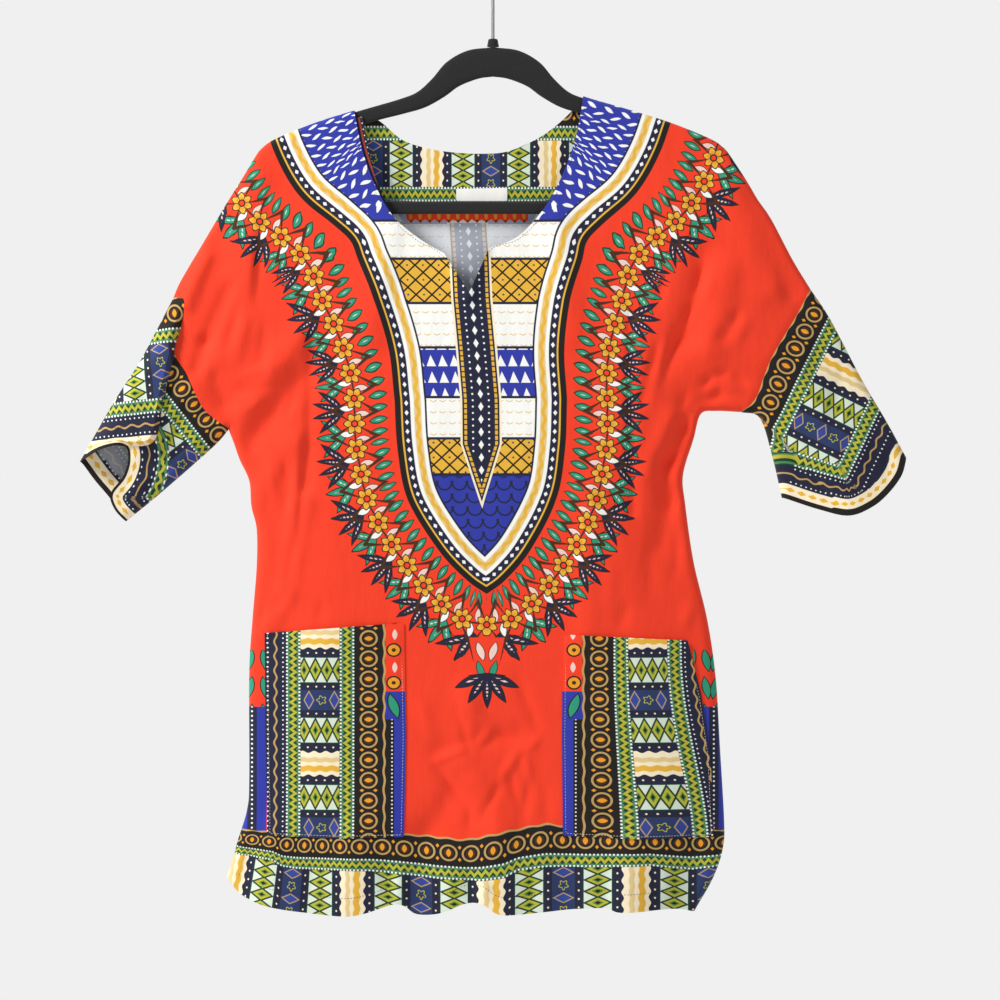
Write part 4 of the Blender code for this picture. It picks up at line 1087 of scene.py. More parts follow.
@dataclass(frozen=True)
class BodyPrint:
    """The body's print: a banded yoke with a placket, ringed by leaves and flowers."""

    zone: Zone = Zone.WHOLE
    flower_pitch: float = 24.0
    flower_radius: float = 9.8
    bands_end: float = 30.0
    rows_start: float = 112.0
    ring_inside: float = -38.0
    ring_outside: float = 48.0
    ring_foot: float = 590.0
    middle_half: float = 40.0
    side_top: float = 518.0
    side_blue_from: float = 572.0
    leaf_pitch: float = 11.6
    lotus_foot: float = 540.0
    dash_rows: float = 17.0
    dash_pitch: float = 13.0
    scales_from: float = 352.0
    placket_point: float = 378.0

    def shows(self, *zones: Zone) -> bool:
        """Tell whether any of some zones is worked out here."""
        return self.zone is Zone.WHOLE or self.zone in zones

    def print_on(self, graph: Graph) -> bpy.types.NodeSocket:
        """Return the body's colour."""
        across, drop, down = graph.vector("lay")
        along, depth, axis = graph.vector("yoke")
        turn, away, _ = graph.vector("ring")
        ink = Ink(graph, ORANGE)
        if self.shows(Zone.PLAIN):
            self._side_zones(ink, across, drop)
        if self.shows(Zone.RING):
            self._leaf_ring(ink, turn, away)
            self._sprigs(ink, turn, away)
            self._flower_ring(ink, turn, away)
            self._lotus(ink, axis, drop)
        if self.shows(Zone.BANDS):
            self._bands(ink, along, depth)
        if self.shows(Zone.SHOULDER, Zone.ROWS):
            inner = Ink(graph, ROYAL)
            if self.shows(Zone.SHOULDER):
                self._shoulders(inner, along, depth, drop)
            if self.shows(Zone.ROWS):
                self._rows(inner, axis, drop)
                self._placket(inner, axis, drop)
            ink.lay((inner, depth.beyond(self.bands_end)))
        if self.shows(Zone.PLAIN):
            ink.lay((DULL_GOLD, (down - 0.6 * across.wave(GOLD_LINE_WAVE)).beyond(-1.0)))
        return ink.colour

    def zones_of(self, carried: dict[str, Points]) -> dict[Zone, Points]:
        """Tell which points each zone's print alone is enough for."""
        drop, down = carried["lay"][:, 1], carried["lay"][:, 2]
        depth, axis = carried["yoke"][:, 1], carried["yoke"][:, 2]
        away = carried["ring"][:, 1]
        ring = ((away > self.ring_inside) & (away < self.ring_outside)
                | (np.abs(axis) < self.middle_half)) & (drop < self.ring_foot)
        inner = depth > self.bands_end + 1
        return {Zone.PLAIN: (depth < -1) & ~ring,
                Zone.RING: (depth < -1) & (down < -4),
                Zone.BANDS: (depth > 1) & (depth < self.bands_end - 1),
                Zone.SHOULDER: inner & (drop < self.rows_start - 2),
                Zone.ROWS: inner & (drop > self.rows_start + 2)}

    def _side_zones(self, ink: Ink, across: Field, drop: Field) -> None:
        """Print the strips that show beside the pockets' outer edges."""
        strip = Ink(ink.graph, ORANGE)
        lift = (drop - 8).wrap(26)
        sprig = leaf(lift, abs(across - 8).fold(22) - 4 + lift * 0.2, 20, 3.4)
        strip.inlay(sprig, (BLACK, 1.0), (GREEN, 0))
        blue = Ink(ink.graph, ROYAL)
        column = across.fold(19)
        blue.inlay(column, (NAVY, 4.5))
        blue.inlay(column.length(drop.wrap(4.4)), (WHITE, 0.9))
        strip.lay((blue, drop.beyond(self.side_blue_from)))
        zone = across.under(-214).at_least((across - 0.12 * (drop - 500)).beyond(187))
        ink.lay((strip, zone * drop.beyond(self.side_top)))

    def _leaf_ring(self, ink: Ink, turn: Field, away: Field) -> None:
        """Print the slanted leaves nearest to the yoke."""
        out = away + 22.5
        shape = leaf(out, (turn + 0.2 * out).wrap(self.leaf_pitch), 16.5, 3.1)
        ink.inlay(shape, (DARK_GREEN, 0.9), (GREEN, -0.4))
        ink.lay((PALE_GREEN, shape.under(-2.7) * abs(out).under(4.5)))

    def _flower_ring(self, ink: Ink, turn: Field, away: Field) -> None:
        """Print six-petalled flowers with white and pink buds between them."""
        pitch = self.flower_pitch
        across, side = turn.wrap(pitch), (turn + pitch / 2).wrap(pitch)
        for colour, shift in ((WHITE, 7.5), (PINK, -7.5)):
            bud = leaf(away - shift, side - shift * 0.3, 13, 2.7)
            ink.inlay(bud, (BROWN, 0.6), (colour, -0.2))
        reach = across.length(away)
        petals = (across.angle(away) * 6).cosine()
        edge = reach - self.flower_radius * (0.84 + 0.16 * petals)
        ink.inlay(edge, (BLACK, 1.1), (GOLD, 0))
        ink.lay((AMBER, (edge + 2.4 + petals).under(0)),
                (BROWN, petals.under(-0.9, 0.05) * reach.beyond(3.5)))
        ink.inlay(reach, (BLACK, 3.6), (ORANGE, 2.3))

    def _sprigs(self, ink: Ink, turn: Field, away: Field) -> None:
        """Print green sprigs and dark fans in turn, pointing outwards between the flowers."""
        pitch = self.flower_pitch
        green = fan((turn + pitch / 2).wrap(2 * pitch), away - 9, 3, 33, 26, 2.7)
        dark = fan((turn + 1.5 * pitch).wrap(2 * pitch), away - 9, 4, 26, 30, 2.6)
        ink.inlay(green, (BLACK, 0.9), (GREEN, 0))
        ink.lay((PALE_GREEN, green.under(-2.1) * away.fold(3.4).under(1.1)))
        ink.inlay(dark, (BLACK, 0.7), (NAVY, 0))
        ink.lay((PINK, dark.under(-1.95) * away.fold(3.4).under(0.9)))

    def _lotus(self, ink: Ink, axis: Field, drop: Field) -> None:
        """Print the buds and the dark flower that close the ring at its foot."""
        ink.lay((ORANGE, (abs(axis) + (drop - 505) * 0.2).under(17) * drop.beyond(506)))
        for base, half_width, colour in ((519, 3.4, PINK), (537, 3.0, GREEN)):
            bud = leaf(drop - base, abs(axis) - 6 + 0.3 * (drop - base), 17, half_width)
            ink.inlay(bud, (BLACK, 0.8), (colour, 0))
        shape = fan(axis, drop - self.lotus_foot, 5, 33, 32, 3.9)
        ink.inlay(shape, (BLACK, 0.8), (NAVY, 0))
        ink.lay((PINK, shape.under(-2.9) * drop.fold(3.4).under(0.9)))

    def _bands(self, ink: Ink, along: Field, depth: Field) -> None:
        """Print the yoke's bands from its edge inwards."""
        for start, colour in ((0, BLACK), (5.6, GOLD), (7.2, NAVY), (14.6, WHITE),
                              (self.bands_end - 1.8, NAVY)):
            ink.lay((colour, depth.beyond(start)))
        lozenge = abs(along.wrap(9)) / 2.6 + abs(depth - 10.9) / 1.9
        middle = depth - 21.4
        ink.lay((WHITE, lozenge.under(1, 0.1)), (PALE_GOLD, abs(middle).under(3.4, 0.8)),
                (GOLD, abs(middle - 1.1 * along.wave(15)).under(1.8, 0.6)))

    def _shoulders(self, ink: Ink, along: Field, depth: Field, drop: Field) -> None:
        """Scatter short white dashes over the yoke's upper part."""
        upper = drop.under(self.rows_start)
        for shift, slant in ((0, 0.45), (1, -0.3)):
            lift = (depth + self.dash_rows / 2 * shift).wrap(self.dash_rows)
            slip = (along + self.dash_pitch / 2 * shift + slant * lift).wrap(self.dash_pitch)
            ink.lay((WHITE, leaf(lift, slip, 10, 1.7).under(0) * upper))

    def fringe(self, ink: Ink) -> None:
        """Print the fringe that shows on the wrong side, inside the back neck."""
        if not self.shows(Zone.SHOULDER, Zone.ROWS):
            return
        _, drop, _ = ink.graph.vector("lay")
        _, _, axis = ink.graph.vector("yoke")
        tooth = axis.fold(9)
        near = abs(axis).under(58) * ink.graph.number("wrong_side") * (
            drop + tooth * 0.8).under(self.rows_start)
        ink.lay((BROWN, near * drop.beyond(92)),
                (ORANGE, near * (drop + tooth * 1.4).beyond(100) * tooth.beyond(0.9)),
                (AMBER, near * leaf(drop - 105, axis.wrap(9), 9, 1.6).under(0)))

    def _rows(self, ink: Ink, axis: Field, drop: Field) -> None:
        """Print the rows of blocks down the yoke."""
        out = abs(axis)
        cream, trellis, teeth = (Ink(ink.graph, ground) for ground in (WHITE, BLACK, ROYAL))
        hook = abs(drop.wrap(10.5) + 0.45 * out.fold(9)).under(0.55)
        cream.lay((PALE_GOLD, hook * out.fold(9).under(3.2)))
        lozenge = out.fold(15) / 7.5 + drop.fold(14) / 7
        trellis.lay((GOLD, abs(lozenge - 0.5).under(0.34, 0.03)),
                    (GOLD, lozenge.beyond(1.15, 0.05)), (ROYAL, lozenge.under(0.1, 0.03)))
        teeth.lay((WHITE, (out.fold(11) - 0.42 * (drop - 8).wrap(15.6)).under(1.2)))
        rows = ((self.rows_start, 148, cream), (148, 190, trellis), (190, 232, cream),
                (232, 279, teeth), (279, 318, cream), (318, self.scales_from, trellis))
        for top, bottom, row in rows:
            ink.lay((row, drop.between(top, bottom)), (NAVY, drop.between(top - 1.2, top + 1.2)))
        scales = (axis + 7).wrap(14).length((drop - self.scales_from).wrap(12) + 4)
        ink.lay((NAVY, abs(scales - 6.6).under(0.8) * drop.beyond(354)),
                (NAVY, drop.between(350.8, 353.6)))

    def _placket(self, ink: Ink, axis: Field, drop: Field) -> None:
        """Print the pointed placket down the middle."""
        out = abs(axis)
        edge = ((self.placket_point - drop) * 0.32).at_most(17.5) - out
        strip = Ink(ink.graph, NAVY)
        lozenge = out / 2.5 + drop.fold(12) / 4.2
        dots = (out - 7.6).length(drop.wrap(6))
        strip.lay((GOLD, abs(edge - 3.0).under(1.3) * drop.fold(5).beyond(0.6)),
                  (WHITE, lozenge.under(1, 0.1) * edge.beyond(6)),
                  (WHITE, dots.under(0.9) * edge.beyond(7)))
        ink.lay((CREAM, edge.beyond(-2.0)),
                (strip, edge.beyond(0) * drop.beyond(self.rows_start)))


# ------------------------------------------------------------------ finishes


def new_material(name: str) -> tuple[bpy.types.Material, Graph, bpy.types.Node]:
    """Return a new material, the graph of its nodes and its shader."""
    material = bpy.data.materials.new(name)
    material.use_nodes = True
    tree = material.node_tree
    return material, Graph(tree), tree.nodes["Principled BSDF"]


@dataclass(frozen=True)
class ClothFinish:
    """Printed cotton: its colour, its dull face and its weave."""

    name: str
    roughness: float = 0.82
    weave: float = 0.00006
    rumple: float = 0.0014
    crinkle: float = 0.0011
    sheen: float = 0.12
    fade: float = 0.58               # of the print, on the wrong side
    soil: Colour = (0.8, 0.79, 0.79, 1)

    def make(self, print_on: Callable[[Graph], Tint],
             inside: Optional[Callable[[Ink], None]] = None) -> bpy.types.Material:
        """Make the material.

        Args:
            print_on: Returns the right side's colour in a graph.
            inside: Prints what shows unfaded on the wrong side.

        Returns:
            The material.
        """
        material, graph, shader = new_material(self.name)
        ink = Ink(graph, print_on(graph))
        ink.lay((FADED, graph.number("wrong_side") * self.fade))
        if inside:
            inside(ink)
        mottle = graph.noise(18, 3)
        shadow = graph.node("ShaderNodeMix", {"data_type": "RGBA", "blend_type": "MULTIPLY"},
                            {0: (mottle - 0.35) * 0.35, 6: ink.colour, 7: self.soil})
        slubs = graph.noise(900, 0, (1, 1, 0.05)) + graph.noise(900, 0, (0.05, 1, 1))
        height = (slubs * self.weave + graph.noise(26, 1) * self.rumple
                  + graph.noise(75, 2, (1, 1, 0.4)) * self.crinkle)
        graph.feed(shader, {
            "Base Color": shadow.outputs[2], "Normal": graph.bump(height, 0.7),
            "Roughness": self.roughness + (mottle - 0.5) * 0.12, "Sheen Weight": self.sheen,
            "Specular IOR Level": 0.25})
        return material


@dataclass(frozen=True)
class PlainFinish:
    """One colour with a little grain: flock, steel or satin."""

    name: str
    colour: Colour
    roughness: float
    metallic: float = 0.0
    sheen: float = 0.0
    grain: float = 0.0
    grain_scale: float = 1800.0

    def make(self) -> bpy.types.Material:
        """Make the material."""
        material, graph, shader = new_material(self.name)
        grain = graph.noise(self.grain_scale, 2)
        graph.feed(shader, {
            "Roughness": self.roughness + (grain - 0.5) * 0.1,
            "Normal": graph.bump(grain * self.grain, 1.0), "Base Color": self.colour,
            "Metallic": self.metallic, "Sheen Weight": self.sheen})
        return material


def facing_stripe(graph: Graph) -> bpy.types.NodeSocket:
    """Return the colour of the narrow front facing: navy with one red line."""
    along, width, _ = graph.vector("border")
    ink = Ink(graph, NAVY)
    ink.lay((RED_BROWN, abs(width - 3.0).under(0.9)),
            (CREAM, along.wrap(6).length(width - 5.2).under(0.6)))
    return ink.colour


# ------------------------------------------------------------------ where the print lies


HEM_LINE = (
    (-262, 688), (-205, 690), (-102, 690.5), (-60, 694), (-27, 697), (-12, 694.5), (7, 690), (49, 682),
    (66, 684), (120, 685), (190, 688), (226, 690))
HEM_BAND = 42.0              # rings and zigzag, from the gold line to the blocks
HEM_ZIGZAG_FOOT = (
    (-262, 709), (-242, 711.5), (-208, 716), (-199, 722), (-185, 724), (-116, 726), (-88, 729),
    (-54, 733.4), (-12, 735.3), (10.5, 732.5), (23, 725.8), (50, 722.5), (86, 722.6), (148, 721),
    (188, 726.4), (224, 721.8))
# Where the border's columns fall across the hem: the cloth turns away towards the right side
HEM_COLUMNS = ((-262, -293), (-242, -266), (-133.4, -134), (-2, -2), (135, 130), (226, 217))
HEM_SLANT = ((-262, 0.2), (-242, 0.18), (-190, 0.09), (-150, 0.0), (226, 0.0))
AXIS = (
    (-24, 0), (-25, 100), (-21.5, 150), (-20, 186), (-15.5, 234), (-11.5, 281), (-10.5, 376), (-6, 462),
    (-5, 700))
YOKE_EDGE = (
    (206, -16), (194, 15), (184, 44), (170, 72), (154, 93), (128, 115), (112, 131), (106, 149), (93, 186),
    (83, 234), (81.5, 281), (79, 329), (70, 376), (43, 424), (18, 452), (0, 465))
RING_MIDDLE = (
    (246, -6), (238, 36), (226, 72), (205, 105), (172, 132), (153, 154), (142, 186), (131, 215), (124, 241),
    (120, 267), (119, 315), (116, 338), (110, 370), (100, 395), (87, 419), (64, 451), (44, 473), (22, 489),
    (0, 494))


@dataclass
class PrintLayout:
    """Where the print lies on the body's cloth."""

    step: float = 4.0
    slant_from: float = 715.0
    yoke: Points = field(init=False)
    ring: Points = field(init=False)

    def __post_init__(self) -> None:
        """Draw one half of the yoke's edge and of the ring round it."""
        self.yoke = through(YOKE_EDGE, self.step)
        self.ring = through(RING_MIDDLE, self.step)

    @staticmethod
    def axis_at(drop: Points) -> Points:
        """Return where the print's middle lies across, at each drop."""
        return read(np.fliplr(AXIS), drop)

    def axis_mark(self, top: float, bottom: float) -> Points:
        """Return the print's middle as a line between two drops."""
        drops = np.arange(top, bottom, self.step)
        return np.column_stack([self.axis_at(drops), drops])

    @staticmethod
    def hem_mark(outline: Points, step: float) -> Points:
        """Return the hem border's upper line, as far as the panel reaches."""
        line = through(HEM_LINE, step)
        line = line[inside(outline, line)]
        return line[distance_to(line, closed(outline)) > 0.5 * step]

    @staticmethod
    def hem_distance(points: Points) -> Points:
        """Return how far down the hem border each point is, in the flat cloth's millimetres."""
        across, drop = points.T
        gold, low = read(HEM_LINE, across), read(HEM_ZIGZAG_FOOT, across)
        share = (drop - gold) / (low - gold)
        return np.where(share < 1, HEM_BAND * share, HEM_BAND + drop - low)

    def side_of(self, line: Points, points: Points) -> tuple[Points, Points]:
        """Measure mirrored points against one half of a line round the print's middle.

        Args:
            line: Half of a closed line, from its upper end to its foot on the middle.
            points: Spots on the cut plane.

        Returns:
            The place along the line from its foot, and the distance from it, positive inside.
        """
        mirrored = points.copy()
        mirrored[:, 0] = np.abs(points[:, 0] - self.axis_at(points[:, 1]))
        away, along = nearest_on(line, mirrored)
        loop = np.vstack([(0, line[0, 1] - 60), line[:1] - (0, 60), line])
        return lengths_along(line)[-1] - along, np.where(inside(loop, mirrored), away, -away)

    def carried(self, points: Points) -> dict[str, Points]:
        """Return the print's coordinates at some points of the body."""
        across, drop = points.T
        zero = np.zeros(len(points))
        down = self.hem_distance(points)
        leaning = across + (drop - self.slant_from) * read(HEM_SLANT, across)
        along, depth = self.side_of(self.yoke, points)
        turn, away = self.side_of(self.ring, points)
        return {"lay": np.column_stack([points, down]),
                "yoke": np.column_stack([along, depth, across - self.axis_at(drop)]),
                "ring": np.column_stack([turn, -away, zero]),
                "border": np.column_stack([read(HEM_COLUMNS, leaning), down, zero - 1])}


# ------------------------------------------------------------------ the shirt's pieces


@dataclass
class BodyPanels:
    """The front and the back, from the shoulders to the hem."""

    tube: Tube
    layout: PrintLayout
    steps: tuple[float, float] = (3.6, 5.0)
    axis_tops: tuple[float, float] = (190, 56)
    axis_foot: float = 520

    def build(self, face: Face) -> tuple[bpy.types.Object, Size, dict[str, Points]]:
        """Build one panel.

        Args:
            face: Which panel.

        Returns:
            The panel's cloth, its cut's size, and what its sheet carries.
        """
        back = face is Face.BACK
        step = self.steps[back]
        sections = self.tube.pattern.panel(face)
        marks = [self.layout.hem_mark(joined_outline(sections), step),
                 self.layout.axis_mark(self.axis_tops[back], self.axis_foot)]
        cut = Cut(sections, step, face, marks)
        y = self.tube.seat(cut.points, face, BACK_CREASES if back else FRONT_CREASES)
        y -= face.value * seam_valley(cut)
        cloth = Cloth(raised(cut.points, y), cut.triangles, self.layout.carried(cut.points))
        cloth.turn_edges(cut.distance("folded") < ON_EDGE)
        piece = cloth.shell(f"dashiki_{face.name.lower()}", turned=cut.distance("hem") < TURNING)
        return piece, cut.size(), cloth.attributes


def seam_valley(cut: Cut) -> Points:
    """Return how deep a cut piece dips beside its sewn seams, clear of its folded edges."""
    near = np.exp(-(cut.distance("seam") / SEAM_REACH) ** 2)
    return SEAM_VALLEY * near * eased(cut.distance("folded") / FOLD_CLEAR)


class SleeveFacet(NamedTuple):
    """How the border lies on a flat part of a sleeve."""

    across: float            # a place on its gold line
    drop: float
    turned: float            # the gold line's direction, in degrees from straight across
    start: float             # the place along the border there
    blocks: float            # how long its blocks are
    cuff_squeeze: float      # how much the bands beside the cuff narrow
    last_band: float         # where those bands end, beyond the blocks
    pace: float              # how fast the columns follow each other

    def place(self, points: Points) -> tuple[Points, Points]:
        """Return the places along the border and down from its gold line."""
        turn = math.radians(self.turned)
        offset = points - (self.across, self.drop)
        along = offset @ (math.cos(turn), math.sin(turn))
        down = offset @ (-math.sin(turn), math.cos(turn))
        return along * self.pace + self.start, down


RIGHT_SLEEVE_TOP = SleeveFacet(-303, 185, -6.0, 84.0, 51.0, 3.0, 53.0, 1.15)
RIGHT_SLEEVE_LOW = SleeveFacet(-303, 236, 52.0, -38.0, 50.0, 1.25, 48.0, 1.15)
LEFT_SLEEVE = SleeveFacet(292.9, 188, -63.8, 49.0, 56.0, 1.15, 52.0, 1.13)
LEFT_SLEEVE_UNDER = SleeveFacet(240, 300, -78.0, 96.0, 36.0, 1.15, 50.0, 1.13)
LEFT_UNDER_FOLD = ((251, 295), (328, 381), (240, 420), (200, 300))
SLEEVE_START = {"right": 20.0, "left": 0.0}


@dataclass
class Sleeves:
    """The two short sleeves, each one tube from its armhole seam to its open cuff."""

    tube: Tube
    step: float = 3.2
    beside_crest: float = -0.7       # a row of points on the lower side of the step
    back_bands: float = 50.0         # where the bands beside a cuff end on the back
    no_straight_end: float = -1000.0

    def build(self, side: str) -> tuple[bpy.types.Object, Size]:
        """Build the sleeve on one side.

        Args:
            side: "right" or "left".

        Returns:
            The sleeve's cloth, and the size of its flat cut all round its tube.
        """
        cuts = [self._cut(side, face) for face in Face]
        halves = [self._half(side, cut) for cut in cuts]
        cloth = halves[0].joined(halves[1])
        piece = cloth.shell(f"dashiki_sleeve_{side}", turned=cloth.attributes["cuff"] < TURNING)
        front, back = (cut.size() for cut in cuts)
        return piece, (front[0] + back[0], max(front[1], back[1]), front[2] + back[2])

    @staticmethod
    def stepped(side: str, face: Face) -> bool:
        """Tell whether a half of a sleeve is the one that is folded over itself."""
        return side == "right" and face is Face.FRONT

    def _cut(self, side: str, face: Face) -> Cut:
        """Fill the front or the back half of a sleeve."""
        pattern = self.tube.pattern
        marks = []
        if self.stepped(side, face):
            # the lines that keep the step crisp
            crest = through(OVERLAP_CREST[2:], pattern.step)[:-1]
            marks = [crest, *(crest[1:] + reach * left_of(crest)[1:]
                              for reach in (OVERLAP_STEP, self.beside_crest))]
        return Cut(pattern.sleeve(side, face), self.step, face, marks)

    def _half(self, side: str, cut: Cut) -> Cloth:
        """Set a half of a sleeve in the tube."""
        creases = SLEEVE_CREASES if cut.face is Face.FRONT else ()
        y = self.tube.seat(cut.points, cut.face, creases, gap=0)
        if self.stepped(side, cut.face):
            y += cut.face.value * overlap_lift(cut.points, self.tube.pattern)
        y -= cut.face.value * seam_valley(cut)
        return Cloth(raised(cut.points, y), cut.triangles, self._carried(side, cut))

    def _carried(self, side: str, cut: Cut) -> dict[str, Points]:
        """Return the border's coordinates on a half of a sleeve."""
        points = cut.points
        cuff, place = nearest_on(cut.lines("cuff")[0], points)
        from_seam, along = nearest_on(self.tube.pattern.seams[cut.face][side], points)
        down, along = from_seam, along + SLEEVE_START[side]
        straight = np.full(len(points), self.no_straight_end)
        beside_cuff = self.back_bands - cuff
        if cut.face is Face.FRONT:
            for facet, chosen in self._facets(side, points):
                flat_along, flat_down = facet.place(points)
                past_blocks = flat_down - HEM_BAND - facet.blocks
                if side == "left":
                    past_blocks = np.minimum(past_blocks, PLAIN_NAVY)
                down = np.where(chosen, flat_down, down)
                along = np.where(chosen, flat_along, along)
                straight = np.where(chosen, past_blocks, straight)
                rolled = facet.last_band - facet.cuff_squeeze * cuff
                beside_cuff = np.where(chosen, rolled, beside_cuff)
            near = eased(from_seam / HEM_BAND) if side == "left" else 1.0
            down = from_seam + (down - from_seam) * near
        end_along = np.where(beside_cuff > straight, place, along)
        beyond = np.maximum(straight, beside_cuff)
        return {"border": np.column_stack([along, down, beyond]), "cuff": cuff,
                "end_along": end_along}

    def _facets(self, side: str, points: Points) -> list[tuple[SleeveFacet, np.ndarray]]:
        """Return the flat parts of a sleeve's front, with the points that each holds."""
        every = np.ones(len(points), dtype=bool)
        if side == "left":
            under = inside(np.array(LEFT_UNDER_FOLD, dtype=float), points)
            return [(LEFT_SLEEVE, every), (LEFT_SLEEVE_UNDER, under)]
        top = overlap_side(points, self.tube.pattern)
        return [(RIGHT_SLEEVE_LOW, every), (RIGHT_SLEEVE_TOP, top)]


@dataclass
class Pockets:
    """The two patch pockets on the lower front."""

    tube: Tube
    step: float = 3.2
    edge_reach: float = 9.0          # from the sewn edge to the free middle
    mouth_fade: float = 3.0          # the gape ends at one part in so many of the way down
    gold_lines: tuple[float, float] = (-102.6, 85.5)
    column_top: float = 506.8
    column_pace: float = 1.1
    blocks_end: float = 79.0
    lean_from: float = 520.0
    lean_over: float = 190.0

    def build(self, side: str) -> tuple[bpy.types.Object, Size]:
        """Build the pocket on one side.

        Args:
            side: "right" or "left".

        Returns:
            The pocket's cloth and its cut's size.
        """
        loop = evenly(closed(np.array(POCKETS[side])), self.step)
        cut = Cut([("sewn", loop)], self.step, Face.FRONT)
        y = self.tube.seat(cut.points, Face.FRONT, FRONT_CREASES) - self._lift(cut.points, loop)
        border = {"border": self._border(side, cut.points)}
        cloth = Cloth(raised(cut.points, y), cut.triangles, border)
        return cloth.shell(f"dashiki_pocket_{side}", outer=CLOTH), cut.size()

    def _lift(self, points: Points, loop: Points) -> Points:
        """Return how far a pocket's cloth stands off the front."""
        low, high = loop.min(0), loop.max(0)
        over, down = ((points - low) / (high - low)).T
        mouth = POCKET_GAPE * np.sin(np.pi * np.clip(over, 0, 1))
        mouth = mouth * eased(1 - self.mouth_fade * down)
        free = eased(distance_to(points, loop) / self.edge_reach)
        return POCKET_SEAT + (POCKET_BODY - POCKET_SEAT) * free + mouth

    def _border(self, side: str, points: Points) -> Points:
        """Return the border's coordinates on a pocket: its bands run down it."""
        across, drop = points.T
        right, left = self.gold_lines
        inner = right - across
        if side == "left":
            inner = across - left
            leaning = eased((drop - self.lean_from) / self.lean_over)
            inner = inner - read(POCKET_LEAN, inner) * leaning
        return np.column_stack([(drop - self.column_top) * self.column_pace, inner,
                                np.minimum(inner - self.blocks_end, PLAIN_NAVY)])


@dataclass
class NeckPieces:
    """The facings that show inside the neck, and the blank label."""

    tube: Tube
    step: float = 2.4
    strip_rows: int = 7
    strip_hidden: float = 5.0        # the strip's width behind the neckline
    strip_foot: float = 0.8          # and how far it shows at its foot
    strip_widening: float = 6.0      # and how much wider at its top
    columns_from: float = -58.0      # where the back facing's border starts across
    column_start: float = -2.0       # and the place along the border there
    column_pace: float = 1.18
    gold_line: float = -8.0
    blocks_end: float = 78.0

    def build_back_facing(self) -> tuple[bpy.types.Object, Size]:
        """Build the shaped facing inside the back neck."""
        over = self.tube.pattern.over
        neck = through([over["left"][0], *BACK_NECK[::-1], over["right"][0]], self.step)
        neck, lower = (line[distance_to(line, *over.values()) > BACK_FACING_BELOW_SHOULDER]
                       for line in (neck, through(BACK_FACING, self.step)))
        loop = np.vstack([neck, evenly([neck[-1], lower[0]], self.step)[1:], lower[1:],
                          evenly([lower[-1], neck[0]], self.step)[1:]])
        return self._lay_in("neck_facing_back", loop, FACING_SEAT)

    def build_label(self) -> tuple[bpy.types.Object, Size]:
        """Build the blank woven label at the back neck."""
        return self._lay_in("neck_label", evenly([*LABEL, LABEL[0]], self.step), LABEL_SEAT)

    def build_front_strip(self) -> tuple[bpy.types.Object, Size]:
        """Build the narrow strip of facing that shows beside the neckline's right side."""
        over = self.tube.pattern.over["right"]
        edge = through([over[0], *FRONT_NECK_RIGHT[:3]], self.step)
        edge = edge[distance_to(edge, over) > STRIP_BELOW_SHOULDER]
        size = len(edge)
        along = lengths_along(edge)
        shown = self.strip_foot + self.strip_widening * (1 - eased(np.linspace(0, 1, size)))
        y = self.tube.seat(edge, Face.FRONT) - FACING_SEAT
        rows, border = [], []
        for reach in np.linspace(0, 1, self.strip_rows):
            width = -self.strip_hidden + (self.strip_hidden + shown) * reach
            rows.append(raised(edge - left_of(edge) * width[:, None], y))
            border.append(np.column_stack([along, width, np.zeros(size)]))
        corner = np.array([row * size + i for row in range(self.strip_rows - 1)
                           for i in range(size - 1)])
        triangles = np.vstack([np.column_stack([corner, corner + 1, corner + 1 + size]),
                               np.column_stack([corner, corner + 1 + size, corner + size])])
        cloth = Cloth(np.vstack(rows), triangles, {"border": np.vstack(border)})
        piece = cloth.shell("dashiki_neck_facing_front", outer=CLOTH / 2)
        length = float(along[-1])
        widest = self.strip_hidden + self.strip_foot + self.strip_widening
        area = float(np.mean(self.strip_hidden + shown)) * length
        return piece, (widest * MM, length * MM, area * MM ** 2)

    def _lay_in(self, name: str, loop: Points, seat: float) -> tuple[bpy.types.Object, Size]:
        """Fill an outline and lay it inside the back panel."""
        open_ended = np.ptp(loop[[0, -1]], axis=0).max() > ON_EDGE
        cut = Cut([("sewn", closed(loop) if open_ended else loop)], self.step, Face.BACK)
        across, drop = cut.points.T
        y = self.tube.seat(cut.points, Face.BACK, BACK_CREASES) + seat
        along = (across - self.columns_from) * self.column_pace + self.column_start
        border = np.column_stack([along, drop - self.gold_line, drop - self.blocks_end])
        cloth = Cloth(raised(cut.points, y), cut.triangles, {"border": border})
        return cloth.shell(f"dashiki_{name}", outer=CLOTH / 2, lining=True), cut.size()


# ------------------------------------------------------------------ the hanger


